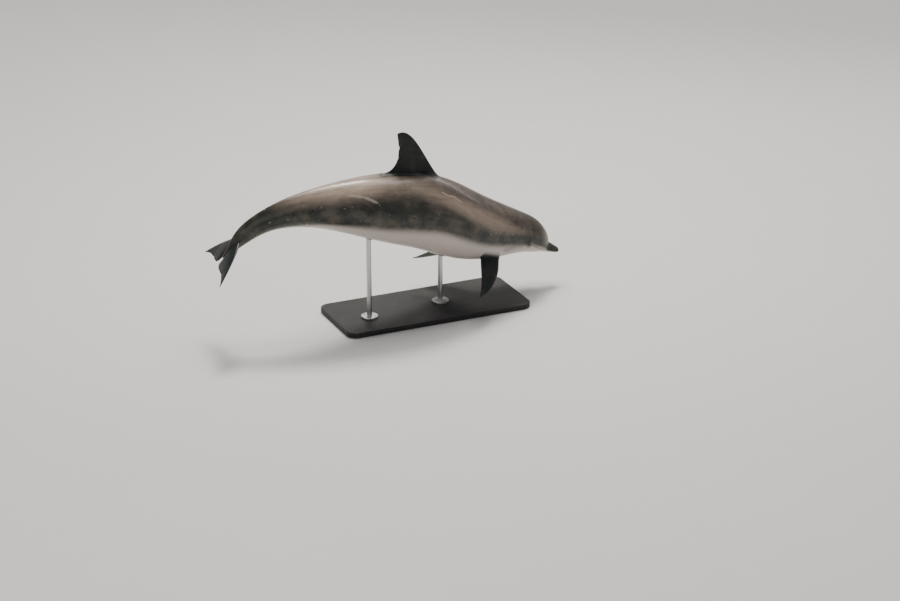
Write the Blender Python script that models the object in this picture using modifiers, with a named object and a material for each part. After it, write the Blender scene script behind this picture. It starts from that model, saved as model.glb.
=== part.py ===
"""A life-size bottlenose dolphin in mid leap, held over a flat display base by two rods.

The animal is formed straight, in body coordinates: forward, left and up from the tip of the beak.
Each ring of the body lies at a station, which is its distance behind the tip as a share of the
length. The straight body is divided into its regions by thin cuts, and each region is then bent
along the spine. Units are metres, with +Z up and +X the way the animal heads. The origin is the
centre of the underside of the base.
"""

import math
from dataclasses import dataclass

import bmesh
import bpy
import numpy as np
from mathutils import Matrix, Vector

LENGTH = 2.65
GAP = 0.0003
MOUTH_GAP = 0.001

# Form of the body: (station, value), with each value a share of the length
BACK_LINE = (
    (0.0385, 0.0300), (0.08, 0.0435), (0.13, 0.0545), (0.20, 0.0690), (0.28, 0.0815), (0.36, 0.0885),
    (0.43, 0.0905), (0.50, 0.0890), (0.57, 0.0825), (0.65, 0.0690), (0.73, 0.0530), (0.80, 0.0405),
    (0.87, 0.0298), (0.922, 0.0220), (0.96, 0.0105), (1.0, 0.0012),
)
BELLY_LINE = (
    (0.0385, -0.0315), (0.08, -0.0362), (0.13, -0.0460), (0.20, -0.0660), (0.28, -0.0845), (0.36, -0.0940),
    (0.43, -0.0945), (0.50, -0.0905), (0.57, -0.0800), (0.65, -0.0630), (0.72, -0.0470), (0.80, -0.0325),
    (0.87, -0.0225), (0.922, -0.0170), (0.96, -0.0085), (1.0, -0.0008),
)
HALF_WIDTH = (
    (0.0385, 0.0450), (0.08, 0.0490), (0.13, 0.0550), (0.17, 0.0635), (0.22, 0.0755), (0.28, 0.0855),
    (0.36, 0.0905), (0.43, 0.0900), (0.50, 0.0845), (0.57, 0.0740), (0.65, 0.0580), (0.72, 0.0425),
    (0.80, 0.0270), (0.87, 0.0165), (0.922, 0.0125), (0.96, 0.0090), (1.0, 0.0030),
)
SIDE_LINE = (
    (0.0, -0.0190), (0.04, -0.0215), (0.08, -0.0205), (0.115, -0.0150), (0.15, -0.0100), (0.22, -0.0060),
    (0.36, -0.0030), (0.60, 0.0), (0.80, 0.0030), (1.0, 0.0010),
)
BEAK_TOP = ((0.0, -0.0125), (0.02, -0.0095), (0.0385, -0.0050), (0.06, -0.0010), (0.13, 0.0))
BEAK_BOTTOM = ((0.0, -0.0255), (0.02, -0.0290), (0.0385, -0.0320), (0.08, -0.0362), (0.13, -0.0375))
BEAK_HALF_WIDTH = (
    (0.0, 0.0100), (0.02, 0.0132), (0.0385, 0.0165), (0.06, 0.0235), (0.09, 0.0320), (0.13, 0.0360),
)
KEEL_PINCH = ((0.0, 0.0), (0.55, 0.0), (0.70, 0.22), (0.82, 0.42), (0.92, 0.30), (1.0, 0.0))
BEAK_END = 0.0385
BEAK_TIP_RUN = 0.014
MELON_RUN = 0.095
THROAT_RUN = 0.13
JAW_END = 0.13

# Rings and columns of the straight body
COLUMNS = 36
PATCH_HALF = 2
RING_RUNS = (
    (0.0, 0.0385, 6, 1.5), (0.0385, 0.060, 4, 1.6), (0.060, 0.13, 5, 1.0), (0.13, 0.213, 4, 1.0),
    (0.213, 0.272, 4, 1.0), (0.272, 0.420, 7, 1.0), (0.420, 0.590, 8, 1.0), (0.590, 0.922, 12, 1.0),
    (0.922, 0.977, 6, 1.0), (0.977, 0.986, 1, 1.0),
)
LIP_CROWDING = 1.35
FILLET_ROWS = 2

# Pose of the spine: (station, degrees); pitch lifts the nose and yaw turns it left
PITCH = (
    (0.0, -25), (0.12, -18), (0.24, -20), (0.36, -28), (0.48, -15), (0.60, -9), (0.72, -1), (0.84, 18),
    (0.94, 46),
)
YAW = ((0.0, 0), (0.20, 7), (0.42, 9), (0.65, -1), (0.93, -11))
ANCHOR_STATION = 0.44
ANCHOR = (-0.03, -0.02, 0.70)

# Fins: outlines in metres from the foot, as Bezier points (towards the tail, out from the body)
DORSAL_FRONT = ((-0.010, -0.010), (0.105, 0.085), (0.230, 0.330), (0.340, 0.265))
DORSAL_REAR = ((0.425, 0.0), (0.265, 0.020), (0.310, 0.170), (0.340, 0.265))
FLIPPER_FRONT = ((-0.072, 0.0), (-0.050, 0.130), (0.030, 0.270), (0.180, 0.345))
FLIPPER_REAR = ((0.078, 0.0), (0.106, 0.090), (0.112, 0.210), (0.180, 0.345))
FLUKE_FRONT = ((-0.100, 0.020), (-0.035, 0.130), (0.050, 0.235), (0.172, 0.318))
FLUKE_REAR = ((0.104, 0.006), (0.150, 0.070), (0.092, 0.190), (0.172, 0.318))
FLIPPER_DROOP = math.radians(42)
FIN_EDGE = 0.0012

# Cuts between the regions: (station)
GAPE = 0.116
HEAD_END = 0.165
NECK_END = 0.203
CHEST_END = 0.3143
MIDRIFF_END = 0.4095
BACK_END = 0.6115
LOIN_END = 0.715
TAIL_MIDDLE = 0.807
TAIL_END = 0.9105
MOUTH_START_UP = -0.0195 * LENGTH
MOUTH_END_UP = -0.0150 * LENGTH

# Eyes
EYE_STATION = 0.130
EYE_UP = -0.0085 * LENGTH
EYE_RADIUS = 0.0145
EYE_STAND_OUT = 0.0030

# Display stand
BASE_SIZE = (1.30, 0.56, 0.035)
BASE_CORNER = 0.07
BASE_BEVEL = 0.004
ROD_RADIUS = 0.016
ROD_STATIONS = (0.335, 0.580)
ROD_DEPTH = 0.085
SOCKET_CLEARANCE = 0.0006
FLANGE_RADIUS = 0.055
FLANGE_HEIGHT = 0.014
FLANGE_BEVEL = 0.005
ROD_SIDES = 24

COLOURS = {
    "skin_dark": ((0.050, 0.058, 0.060, 1.0), 0.0, 0.35),
    "skin_grey": ((0.115, 0.120, 0.120, 1.0), 0.0, 0.35),
    "skin_fin": ((0.030, 0.036, 0.038, 1.0), 0.0, 0.30),
    "eye_dark": ((0.012, 0.010, 0.009, 1.0), 0.0, 0.08),
    "stand_black": ((0.035, 0.036, 0.038, 1.0), 0.0, 0.45),
    "stand_steel": ((0.55, 0.56, 0.57, 1.0), 1.0, 0.28),
}


# --- Curves ---------------------------------------------------------------------------------------


def spline(points):
    """A natural cubic spline through (x, y) points, held level outside them."""
    x, y = np.array(points, float).T
    step = np.diff(x)
    matrix = np.eye(len(x))
    known = np.zeros(len(x))
    for i in range(1, len(x) - 1):
        matrix[i, i - 1 : i + 2] = step[i - 1], 2 * (step[i - 1] + step[i]), step[i]
        known[i] = 6 * ((y[i + 1] - y[i]) / step[i] - (y[i] - y[i - 1]) / step[i - 1])
    bend = np.linalg.solve(matrix, known)

    def value(at):
        at = np.clip(at, x[0], x[-1])
        i = np.clip(np.searchsorted(x, at) - 1, 0, len(x) - 2)
        past, left = at - x[i], x[i + 1] - at
        curved = (bend[i] * left**3 + bend[i + 1] * past**3) / (6 * step[i])
        return curved + (y[i] / step[i] - bend[i] * step[i] / 6) * left + (
            y[i + 1] / step[i] - bend[i + 1] * step[i] / 6
        ) * past

    return value


def bezier(points, t):
    a, b, c, d = np.array(points, float)
    return (1 - t) ** 3 * a + 3 * (1 - t) ** 2 * t * b + 3 * (1 - t) * t**2 * c + t**3 * d


def smoothstep(t):
    t = np.clip(t, 0, 1)
    return t * t * (3 - 2 * t)


def rounded(t, power):
    """Rises steeply from 0 and levels off at 1, as the end of an egg does."""
    t = np.clip(t, 0, 1)
    return (1 - (1 - t) ** power) ** (1 / power)


def larger(a, b, blend):
    """The larger of two values, with a fillet this wide where they cross."""
    near = np.maximum(blend - np.abs(a - b), 0) / blend
    return np.maximum(a, b) + near * near * blend / 4


back_line = spline(BACK_LINE)
belly_line = spline(BELLY_LINE)
half_width = spline(HALF_WIDTH)
side_line = spline(SIDE_LINE)
beak_top = spline(BEAK_TOP)
beak_bottom = spline(BEAK_BOTTOM)
beak_half_width = spline(BEAK_HALF_WIDTH)


# --- Body -----------------------------------------------------------------------------------------


def oval(angle, wide, up, down, power):
    """Radius of an egg-shaped section at an angle above the side line."""
    rise = np.sin(angle)
    high = np.where(rise >= 0, up, down)
    return ((np.abs(np.cos(angle)) / wide) ** power + (np.abs(rise) / high) ** power) ** (-1 / power)


def section(station, fine=160):
    """(left, up) points of the left half of a section, from the back to the belly."""
    angle = np.linspace(math.pi / 2, -math.pi / 2, 2 * fine + 1)
    middle = side_line(station)
    if station < JAW_END:
        tip = rounded(station / BEAK_TIP_RUN, 2.2)
        up, down = beak_top(station) - middle, middle - beak_bottom(station)
        radius = beak = oval(angle, beak_half_width(station) * tip, up * tip, down * tip, 2.3)
    if station > BEAK_END:
        past = station - BEAK_END
        up = (back_line(station) - middle) * rounded(past / MELON_RUN, 2.5)
        down = (middle - belly_line(station)) * rounded(past / THROAT_RUN, 2.0)
        radius = body = oval(angle, half_width(station) * rounded(past / MELON_RUN, 2.0), up, down, 2.05)
    if BEAK_END < station < JAW_END:
        soft = 0.0012 + 0.010 * smoothstep(past / 0.06) + 0.006 * smoothstep(-2 * np.sin(angle))
        joined = smoothstep((station - 0.10) / 0.03)
        radius = larger(beak, body, soft) * (1 - joined) + body * joined
    left, up = radius * np.cos(angle), radius * np.sin(angle)
    edge = np.where(up > 0, up / up.max(), up / up.min())
    left = left * (1 - np.interp(station, *np.array(KEEL_PINCH).T) * edge**2)
    left[[0, -1]] = 0
    return np.stack([left, up + middle], axis=1) * LENGTH


def spaced(points, shares):
    """Points at these shares of the way along a line of points."""
    run = np.concatenate([[0], np.cumsum(np.linalg.norm(np.diff(points, axis=0), axis=1))])
    return np.stack([np.interp(shares * run[-1], run, points[:, i]) for i in (0, 1)], axis=1)


def ring(station, columns):
    """A whole section: column 0 on the back, then down the left side and up the right."""
    half = section(max(station, 1e-4))
    middle = len(half) // 2
    crowding = 1 + (LIP_CROWDING - 1) * (1 - smoothstep((station - 0.10) / 0.09))
    t = np.linspace(0, 1, columns // 4 + 1)
    upper = spaced(half[: middle + 1], 1 - (1 - t) ** crowding)
    lower = spaced(half[middle:], t**crowding)
    left = np.concatenate([upper, lower[1:]])
    round_body = np.concatenate([left, left[1:-1][::-1] * (-1, 1)])
    return np.column_stack([np.full(columns, -station * LENGTH), round_body])


def ring_stations():
    """Stations of the rings, and the number of the ring that starts each run."""
    stations = [0.0]
    starts = {0.0: 0}
    for start, end, count, crowding in RING_RUNS:
        t = np.arange(1, count + 1) / count
        stations += list(start + (end - start) * t**crowding)
        starts[end] = len(stations) - 1
    return stations, starts


# --- Fins -----------------------------------------------------------------------------------------


@dataclass(frozen=True)
class Fin:
    """A fin, and the patch of the body that its foot grows from."""

    name: str
    patch: tuple  # stations of the front and the back of the patch
    column: int  # column down the middle of the patch
    side: int  # 1 on the left and on the back, -1 on the right
    front_edge: tuple
    rear_edge: tuple
    thickness: tuple  # half thickness over chord, at the foot and at the tip
    start: float  # where the fillet at the foot ends, as a share of the edges
    rows: int
    hinge: float  # station of the spine that the fin moves with


def fins():
    flipper = dict(
        patch=(0.213, 0.272), column=13, front_edge=FLIPPER_FRONT, rear_edge=FLIPPER_REAR,
        thickness=(0.13, 0.06), start=0.16, rows=8, hinge=0.243,
    )
    fluke = dict(
        patch=(0.922, 0.977), column=9, front_edge=FLUKE_FRONT, rear_edge=FLUKE_REAR,
        thickness=(0.085, 0.05), start=0.14, rows=9, hinge=0.96,
    )
    return (
        Fin(
            "dorsal_fin", (0.420, 0.590), 0, 1, DORSAL_FRONT, DORSAL_REAR,
            thickness=(0.075, 0.05), start=0.10, rows=9, hinge=0.50,
        ),
        Fin("flipper_left", side=1, **flipper),
        Fin("flipper_right", side=-1, **flipper),
        Fin("fluke_left", side=1, **fluke),
        Fin("fluke_right", side=-1, **fluke),
    )


def fin_axes(fin, rings, starts):
    """Foot of a fin and its directions: towards the tail, out from the body, and across its thickness."""
    front, back = (rings[starts[station], fin.side * fin.column] for station in fin.patch)
    if fin.name == "dorsal_fin":
        tailward = (back - front) / np.linalg.norm(back - front)
        return front, tailward, np.array([tailward[2], 0, -tailward[0]]), np.array([0, 1.0, 0])
    tailward = np.array([-1.0, 0, 0])
    if fin.name.startswith("fluke"):
        foot = np.array([-fin.hinge * LENGTH, 0, (front[2] + back[2]) / 2])
        return foot, tailward, np.array([0, fin.side, 0.0]), np.array([0, 0, -1.0])
    low, wide = math.sin(FLIPPER_DROOP), fin.side * math.cos(FLIPPER_DROOP)
    return (front + back) / 2, tailward, np.array([0, wide, -low]), np.array([0, -fin.side * low, -abs(wide)])


def foil(x):
    """Half thickness of a streamlined section along its chord, 1 at its thickest."""
    return 10 * (0.2969 * np.sqrt(x) - 0.1260 * x - 0.3516 * x**2 + 0.2843 * x**3 - 0.1036 * x**4)


def fin_loop(fin, axes, t, count):
    """Points round a fin, a share t of the way out, from its front edge and back to it."""
    foot, tailward, outward, across = axes
    front, rear = (
        foot + along * tailward + out * outward
        for along, out in (bezier(fin.front_edge, t), bezier(fin.rear_edge, t))
    )
    chord = np.linalg.norm(rear - front)
    angle = 2 * math.pi * np.arange(count) / count
    along = (1 - np.cos(angle)) / 2
    ratio = fin.thickness[0] + (fin.thickness[1] - fin.thickness[0]) * t
    half = np.maximum(foil(along) * ratio * chord, min(FIN_EDGE, chord / 5))
    side = np.clip(12 * np.sin(angle), -1, 1)
    return front + np.outer(along, rear - front) + np.outer(half * side, across)


# --- Surface --------------------------------------------------------------------------------------


class Surface:
    """A mesh in the making, in body coordinates, with the station of the spine that each point follows."""

    def __init__(self):
        self.mesh = bmesh.new()
        self.hinge = self.mesh.verts.layers.float.new("hinge")

    def point(self, place, hinge=None):
        vertex = self.mesh.verts.new(place)
        vertex[self.hinge] = -place[0] / LENGTH if hinge is None else hinge
        return vertex

    def face(self, corners, flip=False):
        self.mesh.faces.new(corners[::-1] if flip else corners)

    def strip(self, near, far, flip):
        """Faces between two loops of points."""
        for i in range(len(near)):
            j = (i + 1) % len(near)
            self.face((near[i], near[j], far[j], far[i]), flip)

    def fan(self, loop, place, hinge, flip):
        """Faces from a loop of points to one point."""
        end = self.point(place, hinge)
        for i in range(len(loop)):
            self.face((loop[i], loop[(i + 1) % len(loop)], end), flip)


def patch_path(fin, starts):
    """(ring, column) round the patch of a fin, from the middle of its front and down its side first."""
    first, last = starts[fin.patch[0]], starts[fin.patch[1]]
    middle, half = fin.column, PATCH_HALF
    path = [(first, middle + i) for i in range(half)]
    path += [(i, middle + half) for i in range(first, last)]
    path += [(last, middle + half - i) for i in range(2 * half)]
    path += [(i, middle - half) for i in range(last, first, -1)]
    path += [(first, middle - half + i) for i in range(half)]
    return path


def fillet_rows(fin, axes, rings, starts, path):
    """Loops of points, and their shares of the fin's hinge, that lead from the body out to the fin."""
    first, last = starts[fin.patch[0]], starts[fin.patch[1]]

    def place(i, j):
        return rings[i, (fin.side * j) % COLUMNS]

    rim = np.array([place(i, j) for i, j in path])
    inner = []
    for i, j in path:
        ahead = (i == first) - (i == last)
        inward = (j == fin.column - PATCH_HALF) - (j == fin.column + PATCH_HALF)
        inner.append(place(i + ahead, j + inward))
    start = fin_loop(fin, axes, fin.start, len(path))
    leaving = np.array(inner) - rim
    arriving = fin_loop(fin, axes, fin.start + 0.01, len(path)) - start
    reach = np.linalg.norm(start - rim, axis=1)[:, None]
    leaving *= reach / np.linalg.norm(leaving, axis=1)[:, None]
    arriving *= reach / np.linalg.norm(arriving, axis=1)[:, None]
    rows = []
    for t in np.arange(1, FILLET_ROWS + 1) / FILLET_ROWS:
        held = smoothstep(t)
        swell = t * (1 - t) * ((1 - t) * leaving - t * arriving)
        rows.append(((1 - held) * rim + held * start + swell, held))
    return rows


def body_surface(rings, stations, starts):
    """The closed straight body, with a stub where each fin grows from it."""
    surface = Surface()
    tip = surface.point(rings[0].mean(axis=0))
    grid = [[tip] * COLUMNS]
    grid += [[surface.point(place) for place in row] for row in rings[1:]]
    open_cells = set()
    for fin in fins():
        for i in range(starts[fin.patch[0]], starts[fin.patch[1]]):
            for j in range(fin.column - PATCH_HALF, fin.column + PATCH_HALF):
                open_cells.add((i, (j if fin.side > 0 else -j - 1) % COLUMNS))
    for j in range(COLUMNS):
        surface.face((tip, grid[1][j], grid[1][(j + 1) % COLUMNS]))
    for i in range(1, len(rings) - 1):
        for j in range(COLUMNS):
            k = (j + 1) % COLUMNS
            if (i, j) not in open_cells:
                surface.face((grid[i][j], grid[i + 1][j], grid[i + 1][k], grid[i][k]))
    surface.fan(grid[-1], rings[-1].mean(axis=0), None, False)
    for fin in fins():
        axes = fin_axes(fin, rings, starts)
        path = patch_path(fin, starts)
        near = [grid[i][(fin.side * j) % COLUMNS] for i, j in path]
        for places, held in fillet_rows(fin, axes, rings, starts, path):
            far = []
            for place in places:
                station = -place[0] / LENGTH
                far.append(surface.point(place, station + (fin.hinge - station) * held))
            surface.strip(near, far, fin.side < 0)
            near = far
        surface.fan(near, np.mean(places, axis=0), fin.hinge, fin.side < 0)
    return surface


def fin_surface(fin, rings, starts):
    """A closed fin, a gap beyond the stub that it stands on."""
    axes = fin_axes(fin, rings, starts)
    count = len(patch_path(fin, starts))
    pace = np.linalg.norm(bezier(fin.front_edge, fin.start + 0.01) - bezier(fin.front_edge, fin.start)) / 0.01
    gap = 1.25 * GAP / pace
    surface = Surface()
    near = None
    for t in np.linspace(0, 1, fin.rows + 1)[:-1]:
        share = fin.start + gap + (1 - fin.start - gap) * (1 - (1 - t) ** 1.3)
        places = fin_loop(fin, axes, share, count)
        far = [surface.point(place, fin.hinge) for place in places]
        if near is None:
            surface.fan(far, places.mean(axis=0), fin.hinge, fin.side > 0)
        else:
            surface.strip(near, far, fin.side < 0)
        near = far
    surface.fan(near, fin_loop(fin, axes, 1.0, count).mean(axis=0), fin.hinge, fin.side < 0)
    return surface


# --- Regions --------------------------------------------------------------------------------------


def across(station, towards_tail):
    """A cut square to the spine, half a gap back from its station: (point, normal out of what is kept)."""
    sign = 1 if towards_tail else -1
    return Vector((-station * LENGTH - sign * GAP / 2, 0, 0)), Vector((sign, 0, 0))


def along_mouth(above):
    """A cut along the mouth line, half its gap clear of it."""
    start = Vector((0, 0, MOUTH_START_UP))
    end = Vector((-GAPE * LENGTH, 0, MOUTH_END_UP))
    normal = (start - end).cross(Vector((0, 1, 0))).normalized()
    sign = 1 if above else -1
    return start + normal * (sign * MOUTH_GAP / 2), -sign * normal


REGIONS = {
    "upper_beak": (across(BEAK_END, False), along_mouth(True)),
    "lower_jaw": (across(GAPE, False), along_mouth(False)),
    "melon": (across(BEAK_END, True), across(GAPE, False), along_mouth(True)),
    "head": (across(GAPE, True), across(HEAD_END, False)),
    "neck": (across(HEAD_END, True), across(NECK_END, False)),
    "chest": (across(NECK_END, True), across(CHEST_END, False)),
    "midriff": (across(CHEST_END, True), across(MIDRIFF_END, False)),
    "back": (across(MIDRIFF_END, True), across(BACK_END, False)),
    "loin": (across(BACK_END, True), across(LOIN_END, False)),
    "tail_stock_front": (across(LOIN_END, True), across(TAIL_MIDDLE, False)),
    "tail_stock_rear": (across(TAIL_MIDDLE, True), across(TAIL_END, False)),
    "tail_end": (across(TAIL_END, True),),
}
MOUTH_PIECES = ("upper_beak", "lower_jaw", "melon")
REGION_COLOURS = {"lower_jaw": "skin_grey", "chest": "skin_grey", "neck": "skin_grey", "midriff": "skin_grey"}


def cut(mesh, point, normal):
    """Removes what lies on the normal's side of a plane and closes the hole."""
    everything = mesh.verts[:] + mesh.edges[:] + mesh.faces[:]
    found = bmesh.ops.bisect_plane(
        mesh, geom=everything, dist=1e-6, plane_co=point, plane_no=normal, clear_outer=True
    )
    rim = [item for item in found["geom_cut"] if isinstance(item, bmesh.types.BMEdge)]
    bmesh.ops.edgeloop_fill(mesh, edges=rim)


def divide(mesh, station):
    """Adds edges round a piece, so that a long flat cap can follow the spine."""
    everything = mesh.verts[:] + mesh.edges[:] + mesh.faces[:]
    bmesh.ops.bisect_plane(
        mesh, geom=everything, dist=1e-5, plane_co=(-station * LENGTH, 0, 0), plane_no=(1, 0, 0)
    )


# --- Pose -----------------------------------------------------------------------------------------


def spine():
    """Tables along the spine: stations, places, and the directions forward, left and up."""
    stations = np.linspace(-0.02, 1.1, 1200)
    pitch, yaw = np.radians(spline(PITCH)(stations)), np.radians(spline(YAW)(stations))
    forward = np.stack([np.cos(pitch) * np.cos(yaw), np.cos(pitch) * np.sin(yaw), np.sin(pitch)], axis=1)
    upward = np.stack([-np.sin(pitch) * np.cos(yaw), -np.sin(pitch) * np.sin(yaw), np.cos(pitch)], axis=1)
    step = np.diff(stations)[:, None] * LENGTH
    places = np.concatenate([np.zeros((1, 3)), np.cumsum(-step * (forward[:-1] + forward[1:]) / 2, axis=0)])
    places += np.array(ANCHOR) - [np.interp(ANCHOR_STATION, stations, places[:, i]) for i in range(3)]
    return stations, places, forward, np.cross(upward, forward), upward


SPINE = spine()


def bent(place, hinge=None):
    """Where a point of the straight body goes when the spine takes its pose."""
    hinge = -place[0] / LENGTH if hinge is None else hinge
    middle, forward, left, up = (
        np.array([np.interp(hinge, SPINE[0], table[:, i]) for i in range(3)]) for table in SPINE[1:]
    )
    return Vector(middle + (place[0] + hinge * LENGTH) * forward + place[1] * left + place[2] * up)


# --- Objects --------------------------------------------------------------------------------------


def fresh_scene():
    """Empties the scene and returns its collections of parts and of cutters."""
    for obj in list(bpy.data.objects):
        bpy.data.objects.remove(obj, do_unlink=True)
    collections = []
    for name in ("dolphin", "cutters"):
        collection = bpy.data.collections.new(name)
        bpy.context.scene.collection.children.link(collection)
        collections.append(collection)
    collections[1].hide_render = True
    origin = bpy.data.objects.new("dolphin_origin", None)
    collections[0].objects.link(origin)
    return collections


def material(name):
    made = bpy.data.materials.get(name)
    if made is None:
        colour, metallic, roughness = COLOURS[name]
        made = bpy.data.materials.new(name)
        made.use_nodes = True
        made.diffuse_color = colour
        shader = made.node_tree.nodes["Principled BSDF"]
        shader.inputs["Base Color"].default_value = colour
        shader.inputs["Metallic"].default_value = metallic
        shader.inputs["Roughness"].default_value = roughness
    return made


def add_object(name, mesh, collection, location, colour=None, smooth=True):
    """Turns a bmesh into an object of the collection. Without a colour it is a cutter."""
    data = bpy.data.meshes.new(name)
    mesh.to_mesh(data)
    mesh.free()
    if smooth:
        data.shade_smooth()
        data.set_sharp_from_angle(angle=math.radians(40))
    obj = bpy.data.objects.new(name, data)
    obj.location = location
    collection.objects.link(obj)
    if colour:
        data.materials.append(material(colour))
        obj.parent = bpy.data.objects["dolphin_origin"]
    else:
        obj.display_type = "WIRE"
        obj.hide_render = True
    return obj


def add_flesh(name, surface, colour, collection):
    """Bends a piece of the straight body and makes it an object, with its origin in its middle."""
    mesh = surface.mesh
    for vertex in mesh.verts:
        vertex.co = bent(vertex.co, vertex[surface.hinge])
    middle = sum((vertex.co for vertex in mesh.verts), Vector()) / len(mesh.verts)
    bmesh.ops.translate(mesh, verts=mesh.verts, vec=-middle)
    bmesh.ops.recalc_face_normals(mesh, faces=mesh.faces)
    return add_object(name, mesh, collection, middle, colour)


def subtract(obj, cutter):
    modifier = obj.modifiers.new(cutter.name, "BOOLEAN")
    modifier.operation = "DIFFERENCE"
    modifier.solver = "EXACT"
    modifier.object = cutter


def ball(radius):
    mesh = bmesh.new()
    bmesh.ops.create_uvsphere(mesh, u_segments=16, v_segments=8, radius=radius)
    return mesh


def upright_rod(radius, height):
    """A cylinder that stands on its origin."""
    mesh = bmesh.new()
    bmesh.ops.create_cone(
        mesh, cap_ends=True, segments=ROD_SIDES, radius1=radius, radius2=radius, depth=height,
        matrix=Matrix.Translation((0, 0, height / 2)),
    )
    return mesh


def flange_profile():
    """Half the section of a flange, down its outer side and back up its bore."""
    bore = ROD_RADIUS + GAP
    mesh = bmesh.new()
    corners = (
        (bore, FLANGE_HEIGHT), (FLANGE_RADIUS - FLANGE_BEVEL, FLANGE_HEIGHT),
        (FLANGE_RADIUS, FLANGE_HEIGHT - FLANGE_BEVEL), (FLANGE_RADIUS, 0), (bore, 0),
    )
    verts = [mesh.verts.new((radius, 0, height)) for radius, height in corners]
    for i, vertex in enumerate(verts):
        mesh.edges.new((vertex, verts[(i + 1) % len(verts)]))
    return mesh


def base_slab():
    """A slab that stands on its origin, with round corners."""
    mesh = bmesh.new()
    size = Matrix.Diagonal((*BASE_SIZE, 1))
    bmesh.ops.create_cube(mesh, size=1, matrix=Matrix.Translation((0, 0, BASE_SIZE[2] / 2)) @ size)
    upright = [edge for edge in mesh.edges if abs(edge.verts[0].co.z - edge.verts[1].co.z) > BASE_SIZE[2] / 2]
    bmesh.ops.bevel(mesh, geom=upright, offset=BASE_CORNER, segments=8, affect="EDGES", profile=0.5)
    return mesh


def add_body(parts):
    stations, starts = ring_stations()
    rings = np.array([ring(station, COLUMNS) for station in stations])
    for name, cuts in REGIONS.items():
        surface = body_surface(rings, stations, starts)
        for point, normal in cuts:
            cut(surface.mesh, point, normal)
        if name in MOUTH_PIECES:
            for station in stations[1:]:
                divide(surface.mesh, station)
        add_flesh(name, surface, REGION_COLOURS.get(name, "skin_dark"), parts)
    for fin in fins():
        add_flesh(fin.name, fin_surface(fin, rings, starts), "skin_fin", parts)


def add_eyes(parts, cutters):
    half = section(EYE_STATION)
    lower = half[len(half) // 4 :]
    left = np.interp(-EYE_UP, -lower[:, 1], lower[:, 0])
    for side, name in ((1, "left"), (-1, "right")):
        depth = EYE_RADIUS - EYE_STAND_OUT
        centre = bent((-EYE_STATION * LENGTH, side * (left - depth), EYE_UP))
        add_object(f"eye_{name}", ball(EYE_RADIUS), parts, centre, "eye_dark")
        socket = add_object(f"eye_socket_{name}", ball(EYE_RADIUS + GAP), cutters, centre)
        subtract(bpy.data.objects["head"], socket)


def add_stand(parts, cutters):
    base = add_object("stand_base", base_slab(), parts, (0, 0, 0), "stand_black")
    bevel = base.modifiers.new("edge", "BEVEL")
    bevel.width = BASE_BEVEL
    bevel.segments = 2
    floor = BASE_SIZE[2] + GAP
    for station, place, region in zip(ROD_STATIONS, ("front", "rear"), ("midriff", "back")):
        belly = bent((-station * LENGTH, 0, belly_line(station) * LENGTH))
        foot = Vector((belly.x, belly.y, floor))
        height = belly.z + ROD_DEPTH - floor
        add_object(f"stand_rod_{place}", upright_rod(ROD_RADIUS, height), parts, foot, "stand_steel")
        cutter = upright_rod(ROD_RADIUS + SOCKET_CLEARANCE, height + 0.001)
        subtract(bpy.data.objects[region], add_object(f"rod_socket_{place}", cutter, cutters, foot))
        flange = add_object(f"stand_flange_{place}", flange_profile(), parts, foot, "stand_steel")
        screw = flange.modifiers.new("turn", "SCREW")
        screw.steps = screw.render_steps = ROD_SIDES
        screw.use_merge_vertices = True
        screw.merge_threshold = 0.00001


def main():
    parts, cutters = fresh_scene()
    add_body(parts)
    add_eyes(parts, cutters)
    add_stand(parts, cutters)


main()
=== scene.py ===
"""The looks of a life-size bottlenose dolphin in mid leap, on its display stand.

The skin is formed straight, in body coordinates: forward, left and up from the tip of the beak.
A station is the distance behind that tip as a share of the length. The details of the head and
the belly are pressed into the straight skin, which is then bent along the spine. Units are metres.
"""

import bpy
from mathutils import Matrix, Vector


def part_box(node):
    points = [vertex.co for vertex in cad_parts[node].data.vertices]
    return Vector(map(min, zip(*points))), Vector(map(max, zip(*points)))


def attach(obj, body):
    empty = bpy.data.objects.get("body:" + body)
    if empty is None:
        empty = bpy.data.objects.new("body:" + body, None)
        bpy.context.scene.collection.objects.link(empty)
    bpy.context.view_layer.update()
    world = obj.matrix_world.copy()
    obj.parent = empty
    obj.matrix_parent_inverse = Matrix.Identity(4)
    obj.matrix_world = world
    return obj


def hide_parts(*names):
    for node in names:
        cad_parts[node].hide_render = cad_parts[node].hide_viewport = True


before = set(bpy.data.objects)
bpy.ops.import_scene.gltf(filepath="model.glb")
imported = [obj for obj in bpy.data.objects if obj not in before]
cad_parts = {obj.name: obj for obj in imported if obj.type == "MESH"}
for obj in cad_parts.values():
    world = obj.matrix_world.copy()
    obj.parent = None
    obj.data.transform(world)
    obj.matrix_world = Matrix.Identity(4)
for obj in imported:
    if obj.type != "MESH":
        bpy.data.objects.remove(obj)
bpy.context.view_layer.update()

import math
from contextlib import contextmanager
from dataclasses import dataclass
from functools import lru_cache

import bmesh
import bpy
import numpy as np
from bpy.props import FloatProperty, FloatVectorProperty, IntProperty, PointerProperty
from mathutils import Vector
from mathutils.bvhtree import BVHTree

bl_info = {
    "name": "Leaping Dolphin Model",
    "version": (1, 0, 0),
    "blender": (4, 5, 0),
    "location": "3D View > Sidebar > Dolphin",
    "description": "Builds the skin, eyes, stand finishes and studio of a life-size dolphin model",
    "category": "Object",
}

WARM_WHITE = (1.0, 0.94, 0.87)
BODY = "root"
LENGTH = 2.65

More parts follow.
